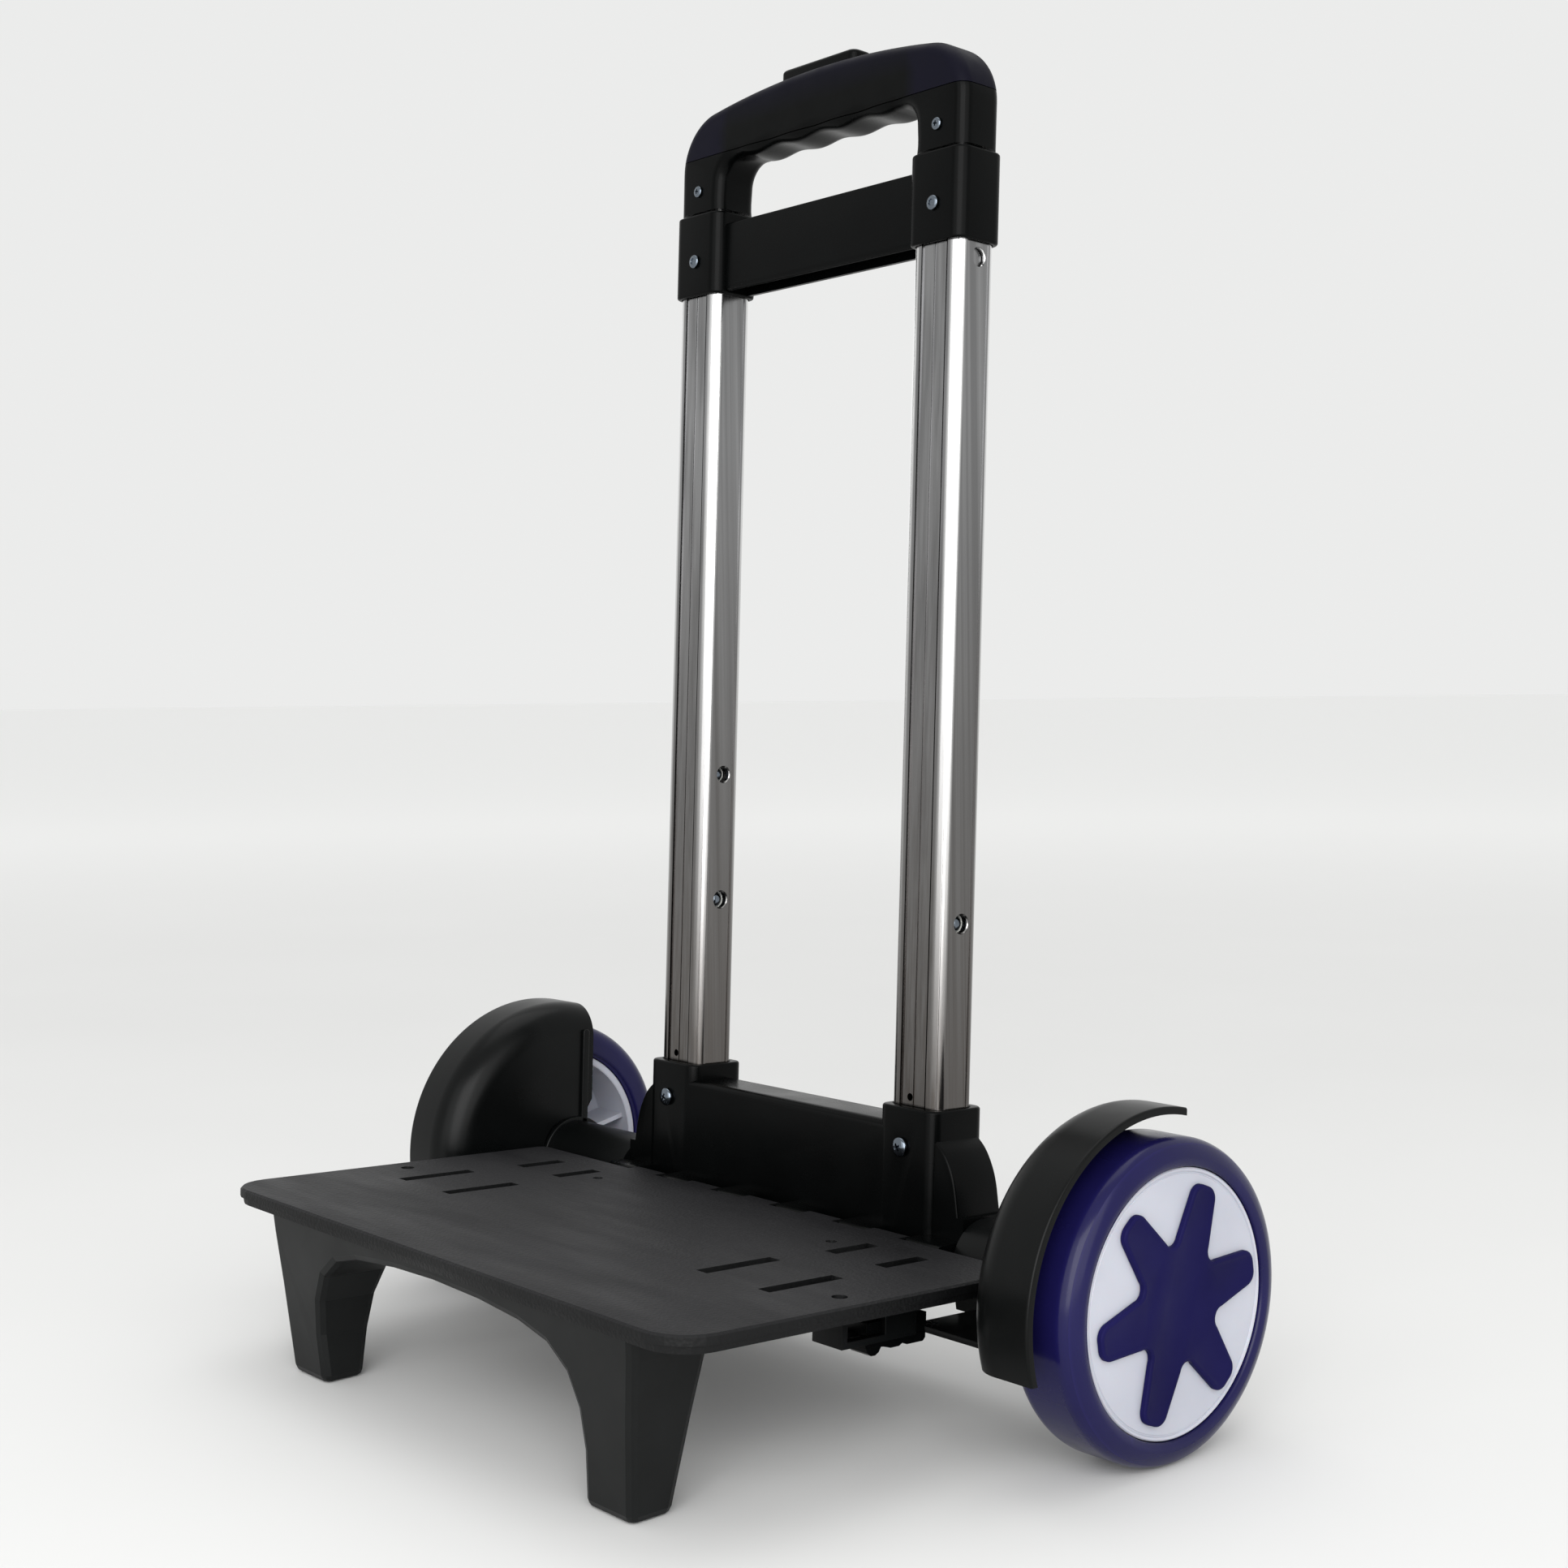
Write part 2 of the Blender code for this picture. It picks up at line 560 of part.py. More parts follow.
def make_legs(home, finish):
    """Two tapered legs joined by an arch under the deck's front edge."""
    foot = floor_height(-141.0)
    half = [(0.0, LEG_TOP), (104.5, LEG_TOP), (103.8, -8.0), (101.2, -26.0), (97.7, foot)]
    half += [(75.0, foot), (76.2, -40.0), (74.8, -28.0), (70.0, -18.5), (61.0, -12.0)]
    half += [(47.0, -8.6), (26.0, -6.6), (0.0, -5.8)]
    outline = mirrored(half)
    front, back = [], []
    for x, z in outline:
        down = (LEG_TOP - z) / (LEG_TOP - foot)
        for ring, top_y, foot_y in ((front, -155.6, -148.3), (back, -125.0, -133.2)):
            y = top_y + (foot_y - top_y) * down
            ring.append((x, y, floor_height(y) if z == foot else z))
    legs = part("leg_frame", loft(bmesh.new(), [front, back]), finish["plastic"], home)
    bevel(legs, 2.6, 2, 50.0)
    cuts = bmesh.new()
    for _, side in SIDES:
        prism(circle((side * 36.0, -140.0), 2.0, 12), "Z", -16.0, 4.0, bm=cuts)
    boolean(legs, cuts, home)
    for label, side in SIDES:
        stack = [(-10.6, 2.2), (-10.0, 3.0), (-8.4, 3.0), (-8.4, 1.6), (0.8, 1.4)]
        bm = stepped([(z, circle((side * 36.0, -140.0), r, 12)) for z, r in stack], "Z")
        part(f"leg_screw_{label}", bm, finish["zinc"], home)


# ---------------------------------------------------------------- fold latch

LATCH_X = (107.0, 116.0)
LATCH_Z = (-10.0, -6.3)
LATCH_PLATE_Z = (-15.2, -12.3)
LATCH_END = -50.8
RAIL_Y = (-87.8, -57.0)
RAIL_BOTTOM = -12.0


def make_latch_rail(home, finish):
    """A U-shaped guide hung under the deck, open at its back end."""
    outline = box_outline((LATCH_X[0] - 2.0, LATCH_X[1] + 2.0), (RAIL_BOTTOM, LEG_TOP))
    rail = part("latch_rail", prism(outline, "Y", *RAIL_Y), finish["plastic"], home)
    channel = box_outline((LATCH_X[0] - GAP, LATCH_X[1] + GAP), (LATCH_Z[0] - GAP, LATCH_Z[1] + GAP))
    boolean(rail, prism(channel, "Y", RAIL_Y[0] + 2.4, 0.0), home)
    window = box_outline((RAIL_Y[0] + 2.4, RAIL_Y[1] - 13.0), (LATCH_Z[0], -3.4))
    boolean(rail, prism(window, "X", 80.0, 130.0), home)
    # A slot in the floor lets the finger plate's neck through, and widens for its block.
    slot = [(LATCH_X[0] + 2.2, -81.5), (LATCH_X[1] - 2.2, -81.5), (LATCH_X[1] - 2.2, -65.2)]
    slot += [(LATCH_X[1], -65.2), (LATCH_X[1], -40.0), (LATCH_X[0], -40.0), (LATCH_X[0], -65.2)]
    slot += [(LATCH_X[0] + 2.2, -65.2)]
    boolean(rail, prism(slot, "Z", -24.0, LATCH_Z[0] + 1.0), home)


def make_latch(home, finish):
    """The sliding catch: a bar in the guide, with a finger plate and knob below it."""
    bar = prism(box_outline((-76.0, LATCH_END), LATCH_Z), "X", *LATCH_X)
    latch = part("fold_latch", bar, finish["plastic"], home)
    neck = box_outline((-72.5, LATCH_END - 0.4), (LATCH_PLATE_Z[0] + 0.5, LATCH_Z[0] + 0.5))
    boolean(latch, prism(neck, "X", LATCH_X[0] + 2.6, LATCH_X[1] - 2.6), home, "UNION")
    plate = [(-76.0, LATCH_PLATE_Z[1]), (-76.0, -14.0)] + arc((-72.6, -13.4), 3.2, 190.0, 345.0, 5)
    plate += [(-68.4, -14.4), (-65.5, LATCH_PLATE_Z[0]), (-62.0, LATCH_PLATE_Z[0]), (-60.6, -14.5)]
    plate += [(-58.6, LATCH_PLATE_Z[0]), (LATCH_END - 1.0, LATCH_PLATE_Z[0]), (LATCH_END, -14.2)]
    plate += [(LATCH_END, LATCH_PLATE_Z[1])]
    boolean(latch, prism(plate, "X", LATCH_X[0] + 0.2, LATCH_X[1] - 0.2), home, "UNION")
    block = box_outline((-56.6, LATCH_END - 0.1), (-14.0, LATCH_Z[0] + 1.5))
    boolean(latch, prism(block, "X", LATCH_X[0] + 0.4, LATCH_X[1] - 0.4), home, "UNION")


def make_spring(name, start, length, radius, wire, turns, home, finish):
    """A helical spring that rises from start, with a four-sided wire."""
    steps, sides = 8, 4
    rings = []
    rise = length - 2 * wire
    for step in range(turns * steps + 1):
        angle = math.tau * step / steps
        height = wire + rise * step / (turns * steps)
        outward = Vector((math.cos(angle), math.sin(angle), 0.0))
        middle = outward * radius + Vector((0.0, 0.0, height))
        ring = []
        for corner in range(sides):
            turn = math.tau * corner / sides
            offset = outward * math.cos(turn) + Vector((0.0, 0.0, 1.0)) * math.sin(turn)
            ring.append(middle + offset * wire)
        rings.append(ring)
    bm = loft(bmesh.new(), rings)
    bmesh.ops.translate(bm, vec=start, verts=bm.verts)
    return part(name, bm, finish["steel"], home)


# ---------------------------------------------------------------- telescopic stages

def make_stage(name, half, bore, span, home, finish, pin_z, pin_hole):
    """A pair of plain tubes with a lock block inside the lower end of each."""
    for label, side in SIDES:
        centre = (side * TUBE_X, TUBE_Y)
        tube = part(
            f"{name}_tube_{label}", prism(rounded_box(centre, half, 2.0), "Z", *span),
            finish["aluminium"], home,
        )
        boolean(tube, prism(rounded_box(centre, bore, 1.4), "Z", 0.0, 420.0), home)
        holes = bmesh.new()
        for z in {pin_z, INNER_PIN_Z}:
            hole = circle((TUBE_Y + 0.7, z), pin_hole, 16)
            prism(hole, "X", centre[0] + bore[0] - 1.0, centre[0] + half[0] + 1.0, bm=holes)
        boolean(tube, holes, home)
        block_half = (bore[0] - GAP, bore[1] - GAP)
        outline = rounded_box(centre, block_half, 1.2)
        low = span[0] + 0.5
        bm = prism(outline, "Z", low, low + 19.5)
        block = part(f"{name}_block_{label}", bm, finish["nylon"], home)
        bore_hole = circle((TUBE_Y + 0.7, pin_z), pin_hole, 16)
        reach = (centre[0] - 3.5, centre[0] + 12.0)
        boolean(block, prism(bore_hole, "X", *reach), home)


def make_lock_pin(name, centre_x, z, tail, tip, radius, home, finish):
    centre = (TUBE_Y + 0.7, z)
    stack = [(tail, radius), (tip - 0.9, radius), (tip - 0.3, radius * 0.8), (tip, radius * 0.35)]
    bm = stepped([(centre_x + x, circle(centre, r, 16)) for x, r in stack], "X")
    part(name, bm, finish["zinc"], home)


# ---------------------------------------------------------------- grip

def grip_crown(x):
    return GRIP_TOP - x * x / (2 * GRIP_CROWN_R)


def grip_path():
    """Pairs of outer and inner points of the grip's outline, from the foot of one leg to the other."""
    out_x, in_x = TUBE_X + 12.0, TUBE_X - 12.0
    bend_out, bend_in = 21.0, 8.5
    shoulder = (out_x - bend_out, 384.2)
    outer = [(out_x, GRIP_BOTTOM), (out_x, 376.0), (out_x, shoulder[1])]
    outer += arc(shoulder, bend_out, 13.0, 81.0, 5)
    inner = [(in_x, GRIP_BOTTOM), (in_x + 0.3, 372.0), (in_x, GRIP_UNDER - bend_in)]
    inner += arc((in_x - bend_in, GRIP_UNDER - bend_in), bend_in, 15.0, 90.0, 5)
    half = list(zip(outer, inner))
    steps = 20
    for step in range(steps + 1):
        x = 40.0 - 80.0 * step / steps
        wave = 0.9 * math.cos(math.tau * x / 23.0)
        half.append(((x * 1.3, grip_crown(x * 1.3)), (x, GRIP_UNDER + wave)))
    last = len(half) - steps - 1
    right_side = half[:last]
    return half + [((-o[0], o[1]), (-i[0], i[1])) for o, i in reversed(right_side)]


def grip_solid():
    rings = []
    for outer, inner in grip_path():
        middle = Vector(((outer[0] + inner[0]) / 2, (outer[1] + inner[1]) / 2))
        reach = Vector(outer) - middle
        flat = reach.normalized()
        section = rounded_box((0.0, 0.0), (reach.length, GRIP_HALF_Y), 4.6, 3)
        rings.append([
            (middle.x + flat.x * u, TUBE_Y + v, middle.y + flat.y * u) for u, v in section
        ])
    bm = loft(bmesh.new(), rings)
    bmesh.ops.recalc_face_normals(bm, faces=bm.faces)
    return bm


def make_grip(home, finish):
    lower = part(
        "grip_lower", keep_below(grip_solid(), (0, 0, GRIP_SPLIT - GAP / 2), (0, 0, 1)),
        finish["plastic"], home,
    )
    cuts = bmesh.new()
    for _, side in SIDES:
        centre = (side * TUBE_X, TUBE_Y)
        prism(rounded_box(centre, MID_BORE, 2.2), "Z", GRIP_BOTTOM - 5.0, INNER_SPAN[1] + GAP, bm=cuts)
        prism(circle((side * TUBE_X, 375.5), 1.7, 12), "Y", -12.0, -3.0, bm=cuts)
    boolean(lower, cuts, home)
    rods = bmesh.new()
    for _, side in SIDES:
        prism(circle((side * TUBE_X, TUBE_Y), 2.3, 16), "Z", INNER_SPAN[1] - 0.5, 395.0, bm=rods)
    boolean(lower, rods, home)

    shell = part(
        "grip_shell", keep_below(grip_solid(), (0, 0, GRIP_SPLIT + GAP / 2), (0, 0, -1)),
        finish["shell"], home,
    )
    room = rounded_box((0.0, TUBE_Y), (66.2, 5.2), 2.0, 2)
    boolean(shell, prism(room, "Z", 380.0, CROSSBAR_Z[1] + 0.7), home)
    middle_x = (BUTTON_X[0] + BUTTON_X[1]) / 2
    half_x = (BUTTON_X[1] - BUTTON_X[0]) / 2
    slot = rounded_box((middle_x, TUBE_Y), (half_x + GAP, 5.4), 3.0)
    boolean(shell, prism(slot, "Z", 396.0, 420.0), home)

    for label, side in SIDES:
        stack = [(-8.5, 1.0), (-8.2, 1.8), (-7.6, 2.1), (-7.6, 1.3), (-4.6, 1.2)]
        bm = stepped([(y, circle((side * TUBE_X, 375.5), r, 12)) for y, r in stack], "Y")
        part(f"grip_screw_{label}", bm, finish["zinc"], home)


def make_button(home, finish):
    middle_x = (BUTTON_X[0] + BUTTON_X[1]) / 2
    half_x = (BUTTON_X[1] - BUTTON_X[0]) / 2
    layers = [(CROSSBAR_Z[1] - 1.0, 0.0), (BUTTON_TOP - 1.8, 0.0), (BUTTON_TOP - 0.5, 0.8)]
    layers += [(BUTTON_TOP, 2.2)]
    bm = stepped([
        (z, rounded_box((middle_x, TUBE_Y), (half_x - inset, 5.1 - inset), 2.8 - inset * 0.5))
        for z, inset in layers
    ], "Z")
    button = part("release_button", bm, finish["button"], home)
    bar = prism(rounded_box((0.0, TUBE_Y), (65.6, 4.4), 2.0, 2), "Z", *CROSSBAR_Z)
    boolean(button, bar, home, "UNION")
    pocket = prism(circle((0.0, TUBE_Y), 2.9, 16), "Z", CROSSBAR_Z[0] - 2.0, SPRING_POCKET_TOP)
    boolean(button, pocket, home)
    for label, side in SIDES:
        rod = prism(circle((side * TUBE_X, TUBE_Y), 1.8, 12), "Z", 168.0, CROSSBAR_Z[0] - GAP)
        part(f"push_rod_{label}", rod, finish["steel"], home)


# ---------------------------------------------------------------- the cart

def clear_scene():
    for obj in list(bpy.data.objects):
        bpy.data.objects.remove(obj, do_unlink=True)


def finishes():
    black = (0.012, 0.013, 0.014)
    return {
        "plastic": material("black_plastic", black, 0.42),
        "deck": material("deck_plastic", (0.016, 0.016, 0.018), 0.6),
        "shell": material("navy_soft_touch", (0.010, 0.010, 0.026), 0.5),
        "button": material("button_plastic", (0.011, 0.011, 0.013), 0.45),
        "tyre": material("navy_tyre", (0.022, 0.015, 0.14), 0.25),
        "hub": material("pale_hub", (0.74, 0.75, 0.84), 0.35),
        "nylon": material("nylon", (0.55, 0.55, 0.53), 0.5),
        "steel": material("steel", (0.55, 0.56, 0.58), 0.35, 1.0),
        "zinc": material("zinc", (0.68, 0.7, 0.74), 0.28, 1.0),
        "aluminium": material("anodised_aluminium", (0.62, 0.62, 0.63), 0.28, 1.0),
    }


def main():
    clear_scene()
    finish = finishes()
    cart = anchor("cart_frame", tilt=-LEAN)
    # The wheels stand upright, so their anchor undoes the lean.
    axle = anchor("axle_line", parent=cart, tilt=LEAN)
    fold = anchor("fold_line", (0.0, HINGE_Y, HINGE_Z), cart)
    latch = anchor("latch_line", (111.5, -60.0, -11.5), cart)
    mid = anchor("mid_stage", (0.0, TUBE_Y, MID_SPAN[0]), cart)
    handle = anchor("handle_stage", (0.0, TUBE_Y, INNER_SPAN[0]), cart)
    button = anchor("button_line", (-3.0, TUBE_Y, BUTTON_TOP), cart)

    make_housing(cart, finish)
    make_axle(cart, finish)
    make_upper_bracket(cart, finish)
    make_outer_tubes(cart, finish)
    make_frame_fasteners(cart, finish)
    make_hinge_pin(cart, finish)
    for label, side in SIDES:
        make_fender(label, side, cart, finish)
        make_wheel(label, side, axle, finish)
    make_deck(fold, finish)
    make_legs(fold, finish)
    make_latch_rail(fold, finish)
    make_latch(latch, finish)
    make_stage("mid", MID_HALF, MID_BORE, MID_SPAN, mid, finish, PIN_Z, 3.1)
    make_stage("inner", INNER_HALF, INNER_BORE, INNER_SPAN, handle, finish, INNER_PIN_Z, 2.8)
    make_grip(handle, finish)
    make_button(button, finish)
    length = SPRING_POCKET_TOP - GRIP_SPLIT - 0.15
    make_spring("button_spring", (0.0, TUBE_Y, GRIP_SPLIT), length, 2.1, 0.35, 4, handle, finish)
    for label, side in SIDES:
        x = side * TUBE_X
        make_lock_pin(f"mid_lock_pin_{label}", x, PIN_Z, 3.2, 9.65, 2.9, mid, finish)
        make_lock_pin(f"inner_lock_pin_{label}", x, INNER_PIN_Z, 2.85, 8.45, 2.5, handle, finish)


main()
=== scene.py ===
import json
import math

import bmesh
import bpy
from mathutils import Matrix, Vector


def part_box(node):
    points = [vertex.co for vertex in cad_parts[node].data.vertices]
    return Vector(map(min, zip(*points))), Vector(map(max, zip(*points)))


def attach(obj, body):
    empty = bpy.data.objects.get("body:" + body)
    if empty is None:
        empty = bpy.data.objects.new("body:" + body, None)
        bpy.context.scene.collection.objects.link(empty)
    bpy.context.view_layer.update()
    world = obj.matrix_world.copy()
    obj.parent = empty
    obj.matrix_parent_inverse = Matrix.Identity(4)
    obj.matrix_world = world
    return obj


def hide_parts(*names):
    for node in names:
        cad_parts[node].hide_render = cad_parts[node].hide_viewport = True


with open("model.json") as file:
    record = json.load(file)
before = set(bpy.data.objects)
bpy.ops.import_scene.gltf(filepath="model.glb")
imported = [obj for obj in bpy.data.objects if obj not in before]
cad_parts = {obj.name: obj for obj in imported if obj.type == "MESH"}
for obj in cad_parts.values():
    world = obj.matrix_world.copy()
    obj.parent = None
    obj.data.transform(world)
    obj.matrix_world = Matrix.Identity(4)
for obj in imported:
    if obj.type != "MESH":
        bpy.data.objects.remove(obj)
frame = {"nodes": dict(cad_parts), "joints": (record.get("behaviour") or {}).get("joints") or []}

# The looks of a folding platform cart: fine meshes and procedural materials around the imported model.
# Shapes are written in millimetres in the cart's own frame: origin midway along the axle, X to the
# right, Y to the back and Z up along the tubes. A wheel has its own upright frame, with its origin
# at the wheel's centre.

MM = 0.001
GAP = 0.3
SIDES = (("left", -1), ("right", 1))
JOINTS = {joint["name"]: joint for joint in frame["joints"]}
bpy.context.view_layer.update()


def middle_of(node):
    """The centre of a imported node's box."""
    low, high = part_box(node)
    return (low + high) / 2


UP = Vector(JOINTS["mid_stage_slide"]["axis"]).normalized()
AXLE = middle_of("wheel_axle")
CART = Matrix((
    (1.0, 0.0, 0.0, AXLE.x),
    (0.0, UP.z, UP.y, AXLE.y),
    (0.0, -UP.y, UP.z, AXLE.z),
    (0.0, 0.0, 0.0, 1.0),
)) @ Matrix.Scale(MM, 4)


def in_cart(point):
    """A world point in the cart's frame, in millimetres."""
    return CART.inverted() @ Vector(point)


# ---------------------------------------------------------------- sizes, in millimetres

TUBE_X = in_cart(middle_of("outer_tube_right")).x
TUBE_Y = 2.1
OUTER_HALF = (11.5, 9.1)
OUTER_BORE = (9.9, 7.5)
OUTER_SPAN = (6.3, 362.0)
TUBE_BEAD = (5.1, 3.9)
PANEL_DEPTH = 0.55
SIDE_PANEL_DEPTH = 0.3
PANEL_GROOVE = (1.0, 0.5)
PANEL_LINE = 0.3
PANEL_SLOPE = 0.03
POCKET_HALF = (11.8, 9.4)
POCKET_R = 4.6
PIN_Z = in_cart(middle_of("mid_lock_pin_right")).z
INNER_PIN_Z = in_cart(middle_of("inner_lock_pin_right")).z
TOP_HOLE_Z = 331.0
PIN_HOLE_R = 3.2
UPPER_HOLE_R = 3.0
SMALL_HOLE = (-1.7, 48.4)
SMALL_HOLE_R = 1.3
PIN_Y = in_cart(middle_of("mid_lock_pin_right")).y
SCREW_SHIFT = in_cart(middle_of("socket_screw_right")).x - TUBE_X
SCREW_Z = in_cart(middle_of("socket_screw_right")).z
RIVET_Z = in_cart(middle_of("bracket_rivet_right")).z
SCREW_HOLE_R = 2.0
RIVET_SHIFT = 0.5
RIVET_HOLE_R = 1.5
GRIP_SCREW_Z = in_cart(middle_of("grip_screw_right")).z
GRIP_SCREW_HOLE_R = 1.7

WHEEL_R = 50.0
TYRE_HALF = 13.2
DISC_R = 41.1
RIM_R = 38.0
BUSH_R = 5.9
STAR_TIP = 36.6
STAR_TURN = math.radians(9.0)

HOUSING_Y = (-8.5, 12.0)
HOUSING_BOTTOM = -13.0
HOUSING_END = 90.0
SOCKET_HALF = (13.3, 12.7)
SOCKET_Z = (-12.7, 45.4)
BRIDGE_Y = (-10.4, 7.5)
BRIDGE_TOP = 39.8
BRIDGE_WALL = 3.1
BRIDGE_SKIN = 2.4
HINGE_Y = -17.0
HINGE_Z = 1.0
HINGE_HOLE_R = 1.8
KNUCKLE_R = 3.6
KNUCKLES = 11
KNUCKLE_PITCH = 16.3
AXLE_R = 4.0

BRACKET_HALF = (13.0, 10.7)
BRACKET_Z = (336.0, 366.8)
PLATE_Y = (-4.0, 8.6)
PLATE_Z = (336.6, 362.2)
PLATE_WALL = 1.5
PLATE_SKIN = 2.4

FENDER_R = 58.5
FENDER_WALL_X = 139.5
FENDER_RIM_X = 166.5
FENDER_SKIN = 2.4
FENDER_CENTRE = (-2.5, 0.5)
FENDER_BACK = 9.0
FENDER_BOTTOM = -17.0
ARM_CENTRE = (1.0, -3.0)
ARM_R = 14.5

GRIP_BOTTOM = 367.7
GRIP_SPLIT = 388.0
GRIP_TOP = 409.5
GRIP_CROWN_R = 370.0
GRIP_UNDER = 385.7
GRIP_HALF_Y = 9.4
GRIP_BORE = (8.7, 6.3)
GRIP_BORE_TOP = 384.3
ROD_HOLE_R = 2.3
FINGER_WAVE = 0.6
FINGER_PITCH = 23.0
BUTTON_CENTRE = (-3.25, TUBE_Y)
BUTTON_HALF = (19.75, 5.1)
BUTTON_TOP = 413.37
CROSSBAR_Z = (394.0, 397.5)
SPRING_POCKET_R = 3.3
SPRING_POCKET_TOP = 396.9

# The camera's place in metres, its yaw, pitch and roll in degrees, and its lens.
CAMERA_PLACE = (0.58149, -0.45961, 0.23532)
CAMERA_TURN = (48.81, -2.40, -0.57)
CAMERA_LENS = 49.77


# ---------------------------------------------------------------- outlines

def arc(centre, radius, start, end, steps):
    """Points on a circle from start to end, in degrees, both ends included."""
    points = []
    for step in range(steps + 1):
        angle = math.radians(start + (end - start) * step / steps)
        points.append((centre[0] + radius * math.cos(angle), centre[1] + radius * math.sin(angle)))
    return points


def circle(centre, radius, sides=48):
    """A closed circle as evenly spaced points."""
    return arc(centre, radius, 0.0, 360.0 * (sides - 1) / sides, sides - 1)


def rounded_box(centre, half, radius, steps=8):
    """A rectangle with rounded corners, from its centre and half sizes."""
    points = []
    for turn, (sx, sy) in enumerate(((1, 1), (-1, 1), (-1, -1), (1, -1))):
        corner = (centre[0] + sx * (half[0] - radius), centre[1] + sy * (half[1] - radius))
        points += arc(corner, radius, 90.0 * turn, 90.0 * turn + 90.0, steps)
    return points


def box_outline(u_span, v_span):
    (u0, u1), (v0, v1) = u_span, v_span
    return [(u0, v0), (u1, v0), (u1, v1), (u0, v1)]


def smooth_line(points, steps=6):
    """A flowing curve through the points, with steps pieces between neighbours."""
    line = []
    for i in range(len(points) - 1):
        before, after = points[max(i - 1, 0)], points[min(i + 2, len(points) - 1)]
        for step in range(steps):
            t = step / steps
            line.append(tuple(
                b + 0.5 * t * (c - a + t * (2 * a - 5 * b + 4 * c - d + t * (3 * (b - c) + d - a)))
                for a, b, c, d in zip(before, points[i], points[i + 1], after)
            ))
    return line + [points[-1]]


# ---------------------------------------------------------------- meshes

def loft(bm, rings, closed=False):
    """Skins rings of equally many points, and caps both ends unless the loft closes on itself."""
    rows = [[bm.verts.new(point) for point in ring] for ring in rings]
    pairs = list(zip(rows, rows[1:]))
    if closed:
        pairs.append((rows[-1], rows[0]))
    count = len(rows[0])
    for low, high in pairs:
        for i in range(count):
            j = (i + 1) % count
            bm.faces.new((low[i], low[j], high[j], high[i]))
    if not closed:
        bm.faces.new(rows[0])
        bm.faces.new(rows[-1])
    return bm


def to_space(outline, axis, at):
    """Lifts a 2-D outline into space: (y, z) for axis X, (x, z) for axis Y and (x, y) for axis Z."""
    if axis == "X":
        return [(at, u, v) for u, v in outline]
    if axis == "Y":
        return [(u, at, v) for u, v in outline]
    return [(u, v, at) for u, v in outline]


def stack(layers, axis, bm=None):
    """(position, outline) pairs skinned into one solid."""
    return loft(bm or bmesh.new(), [to_space(outline, axis, at) for at, outline in layers])


def prism(outline, axis, low, high, bm=None):
    """An outline drawn out along an axis from low to high."""
    return stack([(low, outline), (high, outline)], axis, bm)


def turned(profile, steps, centre=(0.0, 0.0), axis="X", bm=None):
    """Turns a closed profile of (along the axis, radius) points about an axis through centre."""
    rings = []
    for step in range(steps):
        angle = math.tau * step / steps
        turn = (math.cos(angle), math.sin(angle))
        ring = []
        for along, radius in profile:
            u, v = centre[0] + radius * turn[0], centre[1] + radius * turn[1]
            ring.append(to_space([(u, v)], axis, along)[0])
        rings.append(ring)
    return loft(bm or bmesh.new(), rings, closed=True)


def soften(bm, width, segments=3, angle=35.0, keep=None):
    """Rounds the edges sharper than angle, or those of them that keep accepts."""
    bmesh.ops.recalc_face_normals(bm, faces=bm.faces)
    bm.edges.ensure_lookup_table()
    sharp = []
    for edge in bm.edges:
        if len(edge.link_faces) == 2 and edge.calc_face_angle(0.0) > math.radians(angle):
            if keep is None or keep(edge):
                sharp.append(edge)
    bmesh.ops.bevel(
        bm, geom=sharp, offset=width, segments=segments, profile=0.5, affect="EDGES",
        clamp_overlap=True,
    )
    return bm


def scratch_object(bm):
    """A short-lived object for the Boolean steps."""
    bmesh.ops.recalc_face_normals(bm, faces=bm.faces)
    mesh = bpy.data.meshes.new("scratch")
    bm.to_mesh(mesh)
    bm.free()
    obj = bpy.data.objects.new("scratch", mesh)
    bpy.context.scene.collection.objects.link(obj)
    return obj


def combine(bm, others, operation="DIFFERENCE"):
    """Cuts other solids from a solid, or joins them to it, and returns the result."""
    base = scratch_object(bm)
    helpers = [scratch_object(other) for other in others]
    for helper in helpers:
        modifier = base.modifiers.new("combine", "BOOLEAN")
        modifier.operation = operation
        modifier.object = helper
        modifier.solver = "EXACT"
    evaluated = base.evaluated_get(bpy.context.evaluated_depsgraph_get())
    made = bmesh.new()
    made.from_mesh(evaluated.to_mesh())
    evaluated.to_mesh_clear()
    for obj in [base] + helpers:
        mesh = obj.data
        bpy.data.objects.remove(obj)
        bpy.data.meshes.remove(mesh)
    return made


def piece(name, bm, body, material, replaced=(), place=CART, smooth=30.0):
    """A finished mesh object that rides on a body and stands for the CAD nodes it replaces."""
    bmesh.ops.remove_doubles(bm, verts=bm.verts, dist=0.0005)
    bmesh.ops.recalc_face_normals(bm, faces=bm.faces)
    bm.transform(place)
    if place.determinant() < 0:
        bmesh.ops.reverse_faces(bm, faces=bm.faces)
    mesh = bpy.data.meshes.new(name)
    bm.to_mesh(mesh)
    bm.free()
    mesh.shade_smooth()
    mesh.set_sharp_from_angle(angle=math.radians(smooth))
    mesh.materials.append(material)
    obj = bpy.data.objects.new(name, mesh)
    bpy.context.scene.collection.objects.link(obj)
    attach(obj, body)
    if replaced:
        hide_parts(*replaced)
    return obj


